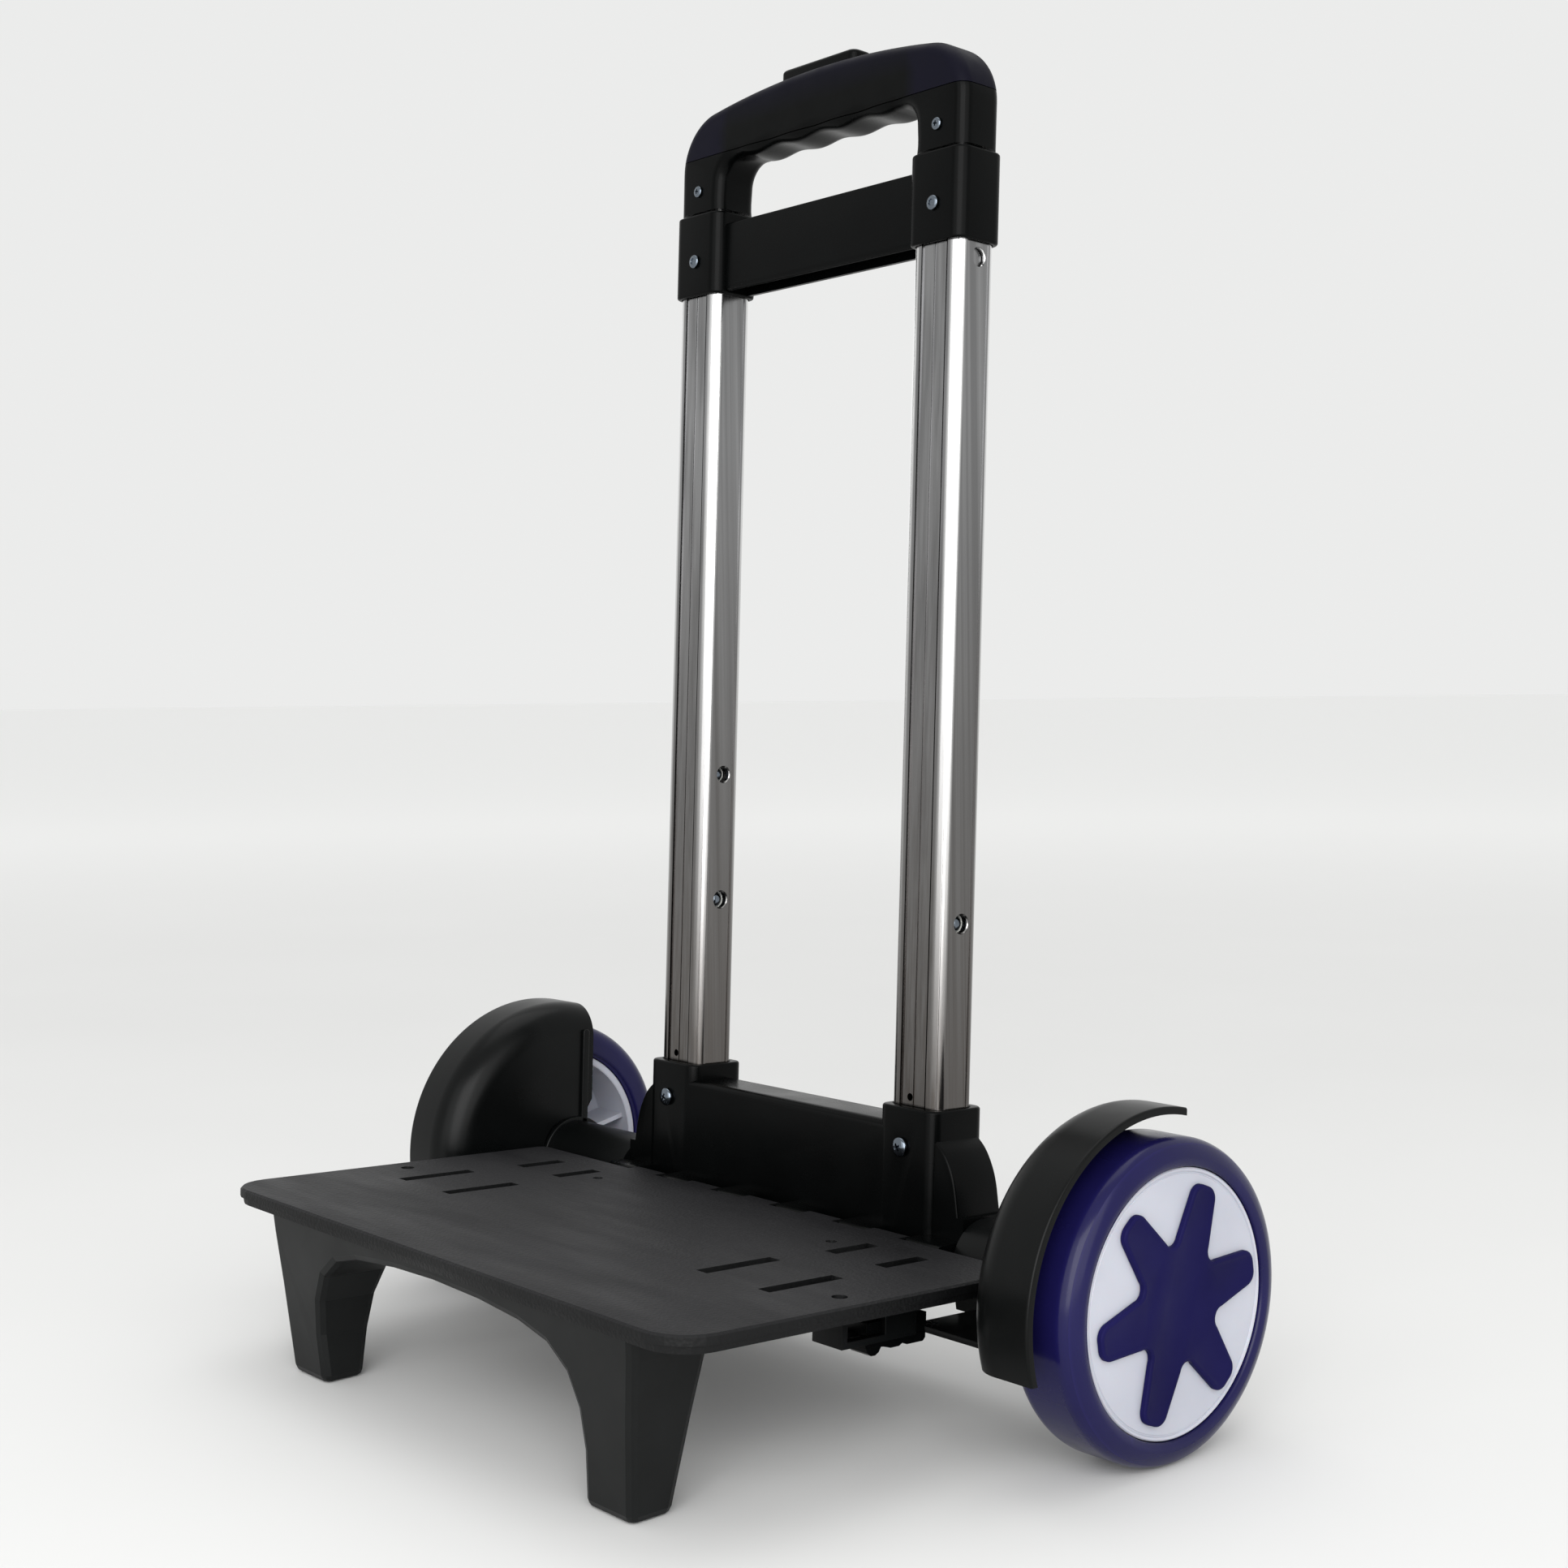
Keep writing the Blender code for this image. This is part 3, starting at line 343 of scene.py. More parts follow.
def dress(node, material, bevel=0.0, segments=2, angle=35.0):
    """Gives a CAD node that stays its material and, where asked, rounded edges."""
    obj = frame["nodes"][node]
    obj.data.materials.clear()
    obj.data.materials.append(material)
    if not bevel:
        return
    weld = obj.modifiers.new("weld", "WELD")
    weld.merge_threshold = 0.00001
    planar = obj.modifiers.new("planar", "DECIMATE")
    planar.decimate_type = "DISSOLVE"
    planar.angle_limit = math.radians(1.0)
    rounded = obj.modifiers.new("rounded", "BEVEL")
    rounded.width = bevel * MM
    rounded.segments = segments
    rounded.limit_method = "ANGLE"
    rounded.angle_limit = math.radians(angle)
    rounded.use_clamp_overlap = True
    rounded.harden_normals = True


# ---------------------------------------------------------------- materials

class Finish:
    """A Principled material whose colour, roughness and bump come from procedural nodes."""

    def __init__(self, name, roughness, metallic=0.0):
        self.material = bpy.data.materials.new(name)
        self.material.use_nodes = True
        self.nodes = self.material.node_tree.nodes
        self.links = self.material.node_tree.links
        self.shader = self.nodes["Principled BSDF"]
        self.shader.inputs["Metallic"].default_value = metallic
        self.shader.inputs["Roughness"].default_value = roughness
        self.coordinates = self.nodes.new("ShaderNodeTexCoord").outputs["Object"]
        self.bumped = None

    def noise(self, scale, detail=3.0, stretch=(1.0, 1.0, 1.0), tilt=0.0):
        mapping = self.nodes.new("ShaderNodeMapping")
        mapping.inputs["Scale"].default_value = stretch
        mapping.inputs["Rotation"].default_value = (tilt, 0.0, 0.0)
        self.links.new(self.coordinates, mapping.inputs["Vector"])
        made = self.nodes.new("ShaderNodeTexNoise")
        made.inputs["Scale"].default_value = scale
        made.inputs["Detail"].default_value = detail
        self.links.new(mapping.outputs["Vector"], made.inputs["Vector"])
        return made.outputs["Fac"]

    def cells(self, scale):
        made = self.nodes.new("ShaderNodeTexVoronoi")
        made.inputs["Scale"].default_value = scale
        self.links.new(self.coordinates, made.inputs["Vector"])
        return made.outputs["Distance"]

    def ranged(self, value, low, high, start=0.3, end=0.7):
        """Spreads a value between start and end over low to high."""
        made = self.nodes.new("ShaderNodeMapRange")
        made.inputs["From Min"].default_value = start
        made.inputs["From Max"].default_value = end
        made.inputs["To Min"].default_value = low
        made.inputs["To Max"].default_value = high
        self.links.new(value, made.inputs["Value"])
        return made.outputs["Result"]

    def ramp(self, value, stops):
        made = self.nodes.new("ShaderNodeValToRGB")
        elements = made.color_ramp.elements
        while len(elements) < len(stops):
            elements.new(0.5)
        for element, (at, colour) in zip(elements, stops):
            element.position = at
            element.color = (*colour, 1.0)
        self.links.new(value, made.inputs["Fac"])
        return made.outputs["Color"]

    def mixed(self, factor, a, b):
        made = self.nodes.new("ShaderNodeMix")
        made.data_type = "RGBA"
        self.links.new(factor, made.inputs["Factor"])
        for socket, colour in (("A", a), ("B", b)):
            place = [item for item in made.inputs if item.name == socket and item.type == "RGBA"][0]
            if isinstance(colour, tuple):
                place.default_value = (*colour, 1.0)
            else:
                self.links.new(colour, place)
        return [item for item in made.outputs if item.type == "RGBA"][0]

    def parts(self, vector):
        """The X, Y and Z outputs of a vector."""
        split = self.nodes.new("ShaderNodeSeparateXYZ")
        self.links.new(vector, split.inputs["Vector"])
        return split.outputs

    def facing(self):
        """The parts of the surface's direction."""
        return self.parts(self.nodes.new("ShaderNodeNewGeometry").outputs["Normal"])

    def maths(self, operation, *values):
        made = self.nodes.new("ShaderNodeMath")
        made.operation = operation
        for value, socket in zip(values, made.inputs):
            self.links.new(value, socket)
        return made.outputs["Value"]

    def corners(self, start, end):
        """One where the surface faces diagonally, between the X and Y directions, and zero elsewhere."""
        across = self.facing()
        product = self.maths("MULTIPLY", across["X"], across["Y"])
        return self.ranged(self.maths("ABSOLUTE", product), 0.0, 1.0, start, end)

    def colour(self, value):
        self.links.new(value, self.shader.inputs["Base Color"])

    def roughness(self, value):
        self.links.new(value, self.shader.inputs["Roughness"])

    def bump(self, value, depth, strength=1.0):
        """Adds a height in millimetres to those already there."""
        made = self.nodes.new("ShaderNodeBump")
        made.inputs["Strength"].default_value = strength
        made.inputs["Distance"].default_value = depth * MM
        self.links.new(value, made.inputs["Height"])
        if self.bumped:
            self.links.new(self.bumped, made.inputs["Normal"])
        self.bumped = made.outputs["Normal"]
        self.links.new(self.bumped, self.shader.inputs["Normal"])

    def set(self, **values):
        for name, value in values.items():
            self.shader.inputs[name.replace("_", " ").title().replace("Ior", "IOR")].default_value = value


def worn_edges(finish, colour, wear, amount):
    """Lightens the colour a little along convex edges."""
    geometry = finish.nodes.new("ShaderNodeNewGeometry")
    edge = finish.ranged(geometry.outputs["Pointiness"], 0.0, amount, 0.52, 0.62)
    return finish.mixed(edge, colour, wear)


def moulded_black(name, base, roughness, grain_depth, shine):
    """Satin black moulding: a fine spark texture and soft handling marks."""
    made = Finish(name, roughness)
    cloud = made.noise(38.0, 4.0)
    dark = tuple(0.8 * value for value in base)
    light = tuple(1.35 * value for value in base)
    made.colour(made.ramp(cloud, [(0.3, dark), (0.7, light)]))
    marks = made.noise(55.0, 5.0)
    made.roughness(made.ranged(marks, roughness - 0.03, roughness + 0.06))
    made.bump(made.noise(2600.0, 2.0), grain_depth, 0.5)
    made.set(specular_ior_level=shine)
    return made.material


def deck_black(name):
    """The deck's grained charcoal top: a leather-like cell grain, dust in it and rubbed patches."""
    made = Finish(name, 0.6)
    cloud = made.noise(16.0, 5.0)
    tone = made.ramp(cloud, [(0.3, (0.006, 0.006, 0.0068)), (0.7, (0.0105, 0.0105, 0.0118))])
    specks = made.ranged(made.noise(900.0, 2.0), 0.0, 0.35, 0.6, 0.75)
    # Painted shade: faces that point up keep the grained tone, while the lip and the walls of the slots,
    # which face sideways, are painted much darker.
    top = made.ranged(made.facing()["Z"], 0.0, 1.0, 0.5, 0.97)
    tone = made.mixed(specks, tone, (0.035, 0.035, 0.038))
    made.colour(made.mixed(top, (0.0018, 0.002, 0.0022), tone))
    rub = made.noise(60.0, 6.0, (0.25, 1.0, 1.0))
    made.roughness(made.ranged(rub, 0.46, 0.66))
    made.bump(made.cells(820.0), 0.16, 0.75)
    made.bump(made.noise(420.0, 3.0, (0.18, 1.0, 1.0)), 0.12, 0.5)
    made.set(specular_ior_level=0.22)
    return made.material


def soft_navy(name):
    """The grip shell's soft-touch navy, almost black, with a low sheen."""
    made = Finish(name, 0.5)
    cloud = made.noise(30.0, 4.0)
    tone = made.ramp(cloud, [(0.3, (0.0015, 0.0014, 0.0048)), (0.7, (0.0024, 0.0022, 0.0075))])
    # The bar's lower half is plain black; the navy starts halfway up and at the legs' parting line.
    place = made.parts(made.coordinates)
    upper = made.ranged(place["Z"], 0.0, 1.0, 0.446, 0.457)
    ends = made.ranged(made.maths("ABSOLUTE", place["X"]), 0.0, 1.0, 0.047, 0.053)
    navy = made.maths("ADD", upper, ends)
    navy.node.use_clamp = True
    tone = made.mixed(navy, (0.0008, 0.001, 0.001), tone)
    made.colour(tone)
    made.roughness(made.ranged(made.noise(120.0, 5.0), 0.42, 0.56))
    made.bump(made.noise(2200.0, 2.0), 0.01, 0.5)
    made.set(specular_ior_level=0.075)
    return made.material


def navy_tyre(name, gloss):
    """Navy polyurethane with faint swirls and a fine mould texture; gloss runs from 0 to 1."""
    made = Finish(name, 0.2)
    cloud = made.noise(22.0, 5.0)
    tone = made.ramp(cloud, [(0.3, (0.005, 0.0042, 0.035)), (0.7, (0.008, 0.0068, 0.055))])
    made.colour(worn_edges(made, tone, (0.02, 0.016, 0.12), 0.3))
    rough = 0.45 - 0.28 * gloss
    made.roughness(made.ranged(made.noise(110.0, 6.0), rough, rough + 0.12))
    made.bump(made.noise(260.0, 3.0), 0.012, 0.2)
    made.set(coat_weight=0.09 * gloss, coat_roughness=0.1, specular_ior_level=0.05 + 0.12 * gloss)
    return made.material


def pale_hub(name):
    """Lavender-white moulded plastic that lets a little light in."""
    made = Finish(name, 0.34)
    cloud = made.noise(26.0, 5.0)
    tone = made.ramp(cloud, [(0.3, (0.385, 0.395, 0.45)), (0.7, (0.44, 0.45, 0.505))])
    made.colour(tone)
    made.roughness(made.ranged(made.noise(90.0, 4.0), 0.28, 0.42))
    made.bump(made.noise(700.0, 2.0), 0.02, 0.3)
    made.set(subsurface_weight=0.12, subsurface_scale=0.002, specular_ior_level=0.45)
    return made.material


def nylon(name):
    """Unpainted nylon, slightly waxy."""
    made = Finish(name, 0.5)
    tone = made.ramp(made.noise(60.0, 4.0), [(0.3, (0.46, 0.46, 0.43)), (0.7, (0.6, 0.6, 0.57))])
    made.colour(tone)
    made.roughness(made.ranged(made.noise(300.0, 3.0), 0.42, 0.58))
    made.bump(made.noise(1500.0, 2.0), 0.02, 0.4)
    return made.material


def bright_metal(name, base, roughness, brushed=None):
    """Steel, zinc or aluminium. Drawn tubes have fine lines; brushed is their scale along each axis."""
    made = Finish(name, roughness, 1.0)
    lean = math.atan2(UP.y, UP.z)
    cloud = made.noise(24.0, 5.0, (1.0, 1.0, 0.35), lean)
    dark = tuple(0.86 * value for value in base)
    light = tuple(min(1.0, 1.1 * value) for value in base)
    tone = made.ramp(cloud, [(0.3, dark), (0.7, light)])
    if brushed:
        # Painted reflection: the drawn tubes are painted dull and a little brown towards their lower
        # ends, in place of the dark deck and floor reflected there.
        height = made.ranged(made.parts(made.coordinates)["Z"], 0.0, 1.0, 0.1, 0.33)
        painted_reflection_tone = made.ramp(cloud, [(0.3, (0.085, 0.077, 0.071)), (0.7, (0.105, 0.094, 0.086))])
        streaks = made.noise(1.0, 3.0, (420.0, 420.0, 1.6), lean)
        shade = tuple(0.5 * value for value in base)
        tone = made.mixed(made.ranged(streaks, 0.0, 0.7, 0.4, 0.62), tone, shade)
        # Painted highlight: the corner beads, where the surface faces diagonally, get a near-white base
        # colour in place of the bright reflection they catch.
        tone = made.mixed(made.corners(0.12, 0.28), tone, (0.86, 0.86, 0.86))
        tone = made.mixed(height, painted_reflection_tone, tone)
        lines = made.noise(1.0, 4.0, brushed, lean)
        made.colour(made.mixed(made.ranged(lines, 0.0, 0.3), tone, dark))
        made.roughness(made.ranged(lines, roughness - 0.02, roughness + 0.05))
        made.bump(lines, 0.004, 0.1)
    else:
        made.colour(tone)
        made.roughness(made.ranged(made.noise(500.0, 4.0), roughness - 0.08, roughness + 0.1))
        made.bump(made.noise(900.0, 3.0), 0.02, 0.3)
    return made.material


PLASTIC = moulded_black("black_plastic", (0.0017, 0.002, 0.002), 0.28, 0.012, 0.13)
SATIN = moulded_black("satin_plastic", (0.0009, 0.0011, 0.0011), 0.25, 0.008, 0.065)
LEG_PLASTIC = moulded_black("leg_plastic", (0.0045, 0.005, 0.005), 0.42, 0.02, 0.16)
DECK = deck_black("deck_plastic")
NAVY = soft_navy("navy_soft_touch")
TYRE = navy_tyre("navy_tyre", 1.0)
STAR = navy_tyre("navy_star", 0.0)
HUB = pale_hub("pale_hub")
NYLON = nylon("nylon")
ALUMINIUM = bright_metal("anodised_aluminium", (0.3, 0.3, 0.303), 0.19, (1500.0, 1500.0, 7.0))
STEEL = bright_metal("steel", (0.50, 0.51, 0.53), 0.3)
ZINC = bright_metal("zinc", (0.15, 0.175, 0.205), 0.12)


# ---------------------------------------------------------------- wheels

def wheel_place(side_name, side):
    """A wheel's own frame; its X points outwards on both sides."""
    centre = Vector(JOINTS[f"wheel_{side_name}_spin"]["pos_m"])
    return Matrix.Translation(centre) @ Matrix.Diagonal((side * MM, MM, MM, 1.0))


def tyre_profile():
    """The tyre's cross-section, as (along the axle, radius) points."""
    shoulder = 6.2
    profile = [(-11.9, RIM_R + GAP), (9.0, RIM_R + GAP), (9.0, DISC_R + GAP)]
    profile += arc((11.6, DISC_R + 1.5), 1.2, 250.0, 330.0, 5)
    profile += arc((TYRE_HALF - 9.0, WHEEL_R - 7.4), 9.0, 8.0, 40.0, 8)
    profile += arc((TYRE_HALF - shoulder - 0.2, WHEEL_R - shoulder), shoulder, 46.0, 90.0, 10)
    profile += [(0.0, WHEEL_R)]
    profile += arc((-TYRE_HALF + shoulder, WHEEL_R - shoulder), shoulder, 90.0, 180.0, 14)
    profile += [(-TYRE_HALF, 42.0)] + arc((-TYRE_HALF + 1.2, 40.4), 1.2, 180.0, 260.0, 4)
    return profile


def star(tip, half_width, corner, valley, fillet):
    """Six round-ended arms that widen to their roots. Fillet rounds the corner between two arms."""
    points = []
    for arm in range(6):
        turn = STAR_TURN + math.radians(60.0) * arm
        local = arc((tip - corner, -(half_width - corner)), corner, -80.0, 0.0, 8)
        local += arc((tip - corner, half_width - corner), corner, 0.0, 80.0, 8)
        middle = math.radians(30.0)
        centre = ((valley + fillet) * math.cos(middle), (valley + fillet) * math.sin(middle))
        local += arc(centre, fillet, 275.0, 145.0, 10)
        for radial, across in local:
            points.append((
                radial * math.cos(turn) - across * math.sin(turn),
                radial * math.sin(turn) + across * math.cos(turn),
            ))
    return points


def make_hub():
    """The hub: a flat outer disc, a rim, a boss and eight ribs behind the web."""
    boss, rim_in, web = 10.5, 35.2, 8.6
    hub = [(11.4, 9.0), (11.4, 39.2), (11.15, 39.4), (11.15, 39.75), (11.55, 39.95)]
    hub += [(11.75, 40.3), (11.75, DISC_R - 0.4), (11.4, DISC_R), (9.3, DISC_R)]
    hub += [(9.3, RIM_R), (-11.2, RIM_R), (-11.5, RIM_R - 0.4), (-11.5, rim_in + 0.4)]
    hub += [(-11.2, rim_in), (web - 1.2, rim_in), (web - 0.3, rim_in - 0.4), (web, rim_in - 1.4)]
    hub += [(web, boss + 1.2), (web - 0.4, boss + 0.3), (web - 1.4, boss), (-12.6, boss)]
    hub += [(-13.0, boss - 0.5), (-13.0, BUSH_R + GAP), (6.6, BUSH_R + GAP), (6.6, 9.0)]
    body = turned(hub, 144)
    spokes = []
    for rib in range(4):
        spoke = prism(box_outline((-36.3, 36.3), (-0.9, 0.9)), "X", -8.0, 9.5)
        spoke.transform(Matrix.Rotation(math.radians(45.0 * rib + 12.0), 4, "X"))
        spokes.append(spoke)
    layers = ((-14.0, BUSH_R + GAP), (6.6, BUSH_R + GAP), (6.6, 9.0), (14.0, 9.0))
    bore = stack([(at, circle((0.0, 0.0), r, 64)) for at, r in layers], "X")
    return combine(combine(body, spokes, "UNION"), [bore])


def make_star():
    """The star stands on the disc with a rounded edge, a shallow dish and a raised border."""
    face = 11.4 + GAP
    layers = [(face, 0.0), (12.75, 0.0), (13.05, 0.08), (13.3, 0.3), (13.45, 0.65), (13.5, 1.05)]
    layers += [(13.44, 1.5), (13.3, 1.9)]
    outlines = []
    for at, inset in layers:
        corner = 4.2 - 0.75 * inset
        outlines.append((at, star(
            STAR_TIP - inset, 5.7 - inset, corner, 18.4 - inset, 3.4 + 0.9 * inset)))
    return stack(outlines, "X")


def make_wheels():
    """Tyre, hub and star cap of each wheel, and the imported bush."""
    for label, side in SIDES:
        place = wheel_place(label, side)
        body = f"wheel_{label}"
        piece(f"tyre_{label}_skin", turned(tyre_profile(), 192), body, TYRE,
              [f"tyre_{label}"], place)
        piece(f"hub_{label}_skin", make_hub(), body, HUB, [f"wheel_hub_{label}"], place)
        piece(f"star_{label}_skin", make_star(), body, STAR, [f"star_cap_{label}"], place, 25.0)
        dress(f"wheel_bush_{label}", NYLON)


# ---------------------------------------------------------------- tubes

def tube_section(centre, half):
    """Rounded corner beads, each with a hairline seam, between recessed panels.

    The front and back panels have a groove beside each bead and a line down the middle.
    """
    bead_x, bead_y = TUBE_BEAD
    width, depth = PANEL_GROOVE
    points = []
    for turn, (sx, sy) in enumerate(((1, 1), (-1, 1), (-1, -1), (1, -1))):
        corner = (centre[0] + sx * (half[0] - bead_x), centre[1] + sy * (half[1] - bead_y))
        start = 90.0 * turn
        round_end = arc((0.0, 0.0), 1.0, start, start + 42.0, 8)
        round_end += arc((0.0, 0.0), 0.92, start + 43.0, start + 47.0, 1)
        round_end += arc((0.0, 0.0), 1.0, start + 48.0, start + 90.0, 8)
        points += [(corner[0] + bead_x * x, corner[1] + bead_y * y) for x, y in round_end]
        if turn % 2 == 0:
            run = half[0] - bead_x - 0.2
            wall = centre[1] + sy * half[1]
            inner = wall - sy * PANEL_DEPTH
            deep = inner - sy * depth
            offsets = [(run, wall), (run - PANEL_SLOPE, deep), (run - PANEL_SLOPE - width, deep)]
            offsets += [(run - 2 * PANEL_SLOPE - width, inner), (PANEL_LINE + PANEL_SLOPE, inner)]
            offsets += [(PANEL_LINE, inner - sy * PANEL_LINE)]
            offsets += [(-along, at) for along, at in reversed(offsets)]
            points += [(centre[0] + sx * along, at) for along, at in offsets]
        else:
            run = half[1] - bead_y - 0.2
            wall = centre[0] + sx * half[0]
            offsets = [(run, wall), (run - PANEL_SLOPE, wall - sx * SIDE_PANEL_DEPTH)]
            offsets += [(-along, at) for along, at in reversed(offsets)]
            points += [(at, centre[1] + sy * along) for along, at in offsets]
    return points


def make_tubes():
    """The outer tubes with their round holes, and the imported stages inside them."""
    for label, side in SIDES:
        centre = (side * TUBE_X, TUBE_Y)
        outer = prism(tube_section(centre, OUTER_HALF), "Z", *OUTER_SPAN)
        bore = prism(rounded_box(centre, OUTER_BORE, 2.2, 4), "Z", -10.0, 380.0)
        face = centre[0] + OUTER_HALF[0]
        holes = []
        extra_z = INNER_PIN_Z if side < 0 else TOP_HOLE_Z
        for z, radius in ((PIN_Z, PIN_HOLE_R), (extra_z, UPPER_HOLE_R)):
            layers = [(face - 3.5, radius), (face - 0.9, radius), (face - 0.5, radius + 0.3)]
            layers += [(face + 3.0, radius + 0.3)]
            holes.append(stack([(x, circle((PIN_Y, z), r, 32)) for x, r in layers], "X"))
        for (shift, z), radius in ((SMALL_HOLE, SMALL_HOLE_R), ((SCREW_SHIFT, SCREW_Z), SCREW_HOLE_R)):
            holes.append(prism(circle((centre[0] + shift, z), radius, 24), "Y", -12.0, -4.6))
        tube = combine(outer, [bore] + holes)
        piece(f"outer_tube_{label}_skin", tube, "frame", ALUMINIUM,
              [f"outer_tube_{label}"], smooth=24.0)
        for stage in ("mid", "inner"):
            dress(f"{stage}_tube_{label}", ALUMINIUM)
            dress(f"{stage}_block_{label}", NYLON, 0.3)


def make_pins():
    """Each lock pin with a finely turned, polished dome."""
    for label, side in SIDES:
        for stage, tail, tip, radius in (("mid", 3.2, 9.65, 2.9), ("inner", 2.85, 8.45, 2.5)):
            z = PIN_Z if stage == "mid" else INNER_PIN_Z
            dome = radius * 0.8
            layers = [(tail, radius - 0.3), (tail + 0.3, radius), (tip - dome, radius)]
            for step in range(1, 9):
                angle = math.radians(90.0 * step / 9)
                layers.append((tip - dome + dome * math.sin(angle), radius * math.cos(angle)))
            centre = (PIN_Y, z)
            bm = stack([(side * TUBE_X + x, circle(centre, r, 32)) for x, r in layers], "X")
            piece(f"{stage}_pin_{label}_skin", bm, f"{stage}_pin_{label}", ZINC,
                  [f"{stage}_lock_pin_{label}"], smooth=50.0)


# ---------------------------------------------------------------- housing and bracket

def knuckle_span(index):
    """The X range of one hinge knuckle."""
    middle = (index - (KNUCKLES - 1) / 2) * KNUCKLE_PITCH
    return middle - KNUCKLE_PITCH / 2 + GAP / 2, middle + KNUCKLE_PITCH / 2 - GAP / 2


def knuckle_outline(back, below):
    """A hinge knuckle and its tab; back is the Y where the tab joins its panel."""
    round_end = arc((HINGE_Y, HINGE_Z), KNUCKLE_R, 90.0, 270.0, 16)
    if back < HINGE_Y:
        round_end = [(2 * HINGE_Y - y, z) for y, z in round_end]
    return round_end + [(back, below), (back, HINGE_Z + KNUCKLE_R)]


def rounded_block(centre, half, radius, span, edge, steps=8):
    """An upright block with rounded corners, its top and bottom edges rounded by edge."""
    low, high = span
    layers = []
    for step in range(6):
        angle = math.radians(90.0 * step / 5)
        layers.append((low + edge - edge * math.cos(angle), edge - edge * math.sin(angle)))
    layers += [(high + low - z, inset) for z, inset in reversed(layers)]
    return stack([
        (z, rounded_box(centre, (half[0] - inset, half[1] - inset), radius - inset, steps))
        for z, inset in layers
    ], "Z")


def make_cheek(side):
    """The housing's rounded shoulder beside a socket, with a raised rim along its front edge."""
    edge = [(76.6, 35.5), (80.3, 32.2), (83.4, 27.3), (85.5, 21.8), (87.0, 14.0), (88.0, 8.6)]
    curve = [(TUBE_X + 4.0, 35.6)] + smooth_line(edge + [(HOUSING_END, 4.0)])
    curve += [(HOUSING_END, HOUSING_BOTTOM), (TUBE_X + 4.0, HOUSING_BOTTOM)]
    cheek = prism([(side * x, z) for x, z in curve], "Y", *HOUSING_Y)
    return soften(cheek, 0.8, 4, 60.0, lambda item: all(v.co.z > 2.0 for v in item.verts))


def make_bridge():
    """The wall between the sockets, rounded along its front and back top edges."""
    front, back = BRIDGE_Y
    low = SOCKET_Z[0] + 0.1
    outline = [(front, low)] + arc((front + 2.8, BRIDGE_TOP - 2.8), 2.8, 180.0, 90.0, 10)
    outline += arc((back - 0.8, BRIDGE_TOP - 0.8), 0.8, 90.0, 0.0, 4) + [(back, low)]
    return prism(outline, "X", -TUBE_X + 6.0, TUBE_X - 6.0)


def housing_cuts():
    """The open back of the bridge, the tube pockets and the holes for screws, axle and hinge pin."""
    inner = TUBE_X - SOCKET_HALF[0] - 1.0
    hollow = box_outline((-inner, inner), (12.0, BRIDGE_TOP - BRIDGE_SKIN))
    cuts = [prism(hollow, "Y", BRIDGE_Y[0] + BRIDGE_WALL, 20.0)]
    for _, side in SIDES:
        centre = (side * TUBE_X, TUBE_Y)
        pocket = rounded_box(centre, POCKET_HALF, POCKET_R, 8)
        mouth = rounded_box(centre, (POCKET_HALF[0] + 0.35, POCKET_HALF[1] + 0.35), POCKET_R + 0.3, 8)
        top = SOCKET_Z[1]
        cuts.append(stack([(6.0, pocket), (top - 0.4, pocket), (top + 0.1, mouth), (60.0, mouth)], "Z"))
        hole = circle((side * TUBE_X + SCREW_SHIFT, SCREW_Z), SCREW_HOLE_R, 24)
        cuts.append(prism(hole, "Y", -12.0, -4.0))
    cuts.append(prism(circle((0.0, 0.0), AXLE_R + GAP, 32), "X", -100.0, 100.0))
    cuts.append(prism(circle((HINGE_Y, HINGE_Z), HINGE_HOLE_R, 24), "X", -100.0, 100.0))
    return cuts


def make_housing():
    """The axle beam with its sockets, bridge, shoulders and every other knuckle of the hinge."""
    parts = [make_bridge()]
    for _, side in SIDES:
        parts.append(rounded_block((side * TUBE_X, TUBE_Y), SOCKET_HALF, 4.5, SOCKET_Z, 0.9))
        parts.append(make_cheek(side))
    parts.append(prism(box_outline(HOUSING_Y, (HOUSING_BOTTOM, 12.0)), "X", -HOUSING_END, HOUSING_END))
    for index in range(0, KNUCKLES, 2):
        knuckle = prism(knuckle_outline(-6.5, -6.0), "X", *knuckle_span(index))
        parts.append(soften(knuckle, 0.35, 2, 60.0))
    housing = combine(combine(parts[0], parts[1:], "UNION"), housing_cuts())
    piece("housing_skin", housing, "frame", SATIN, ["axle_housing"], smooth=28.0)


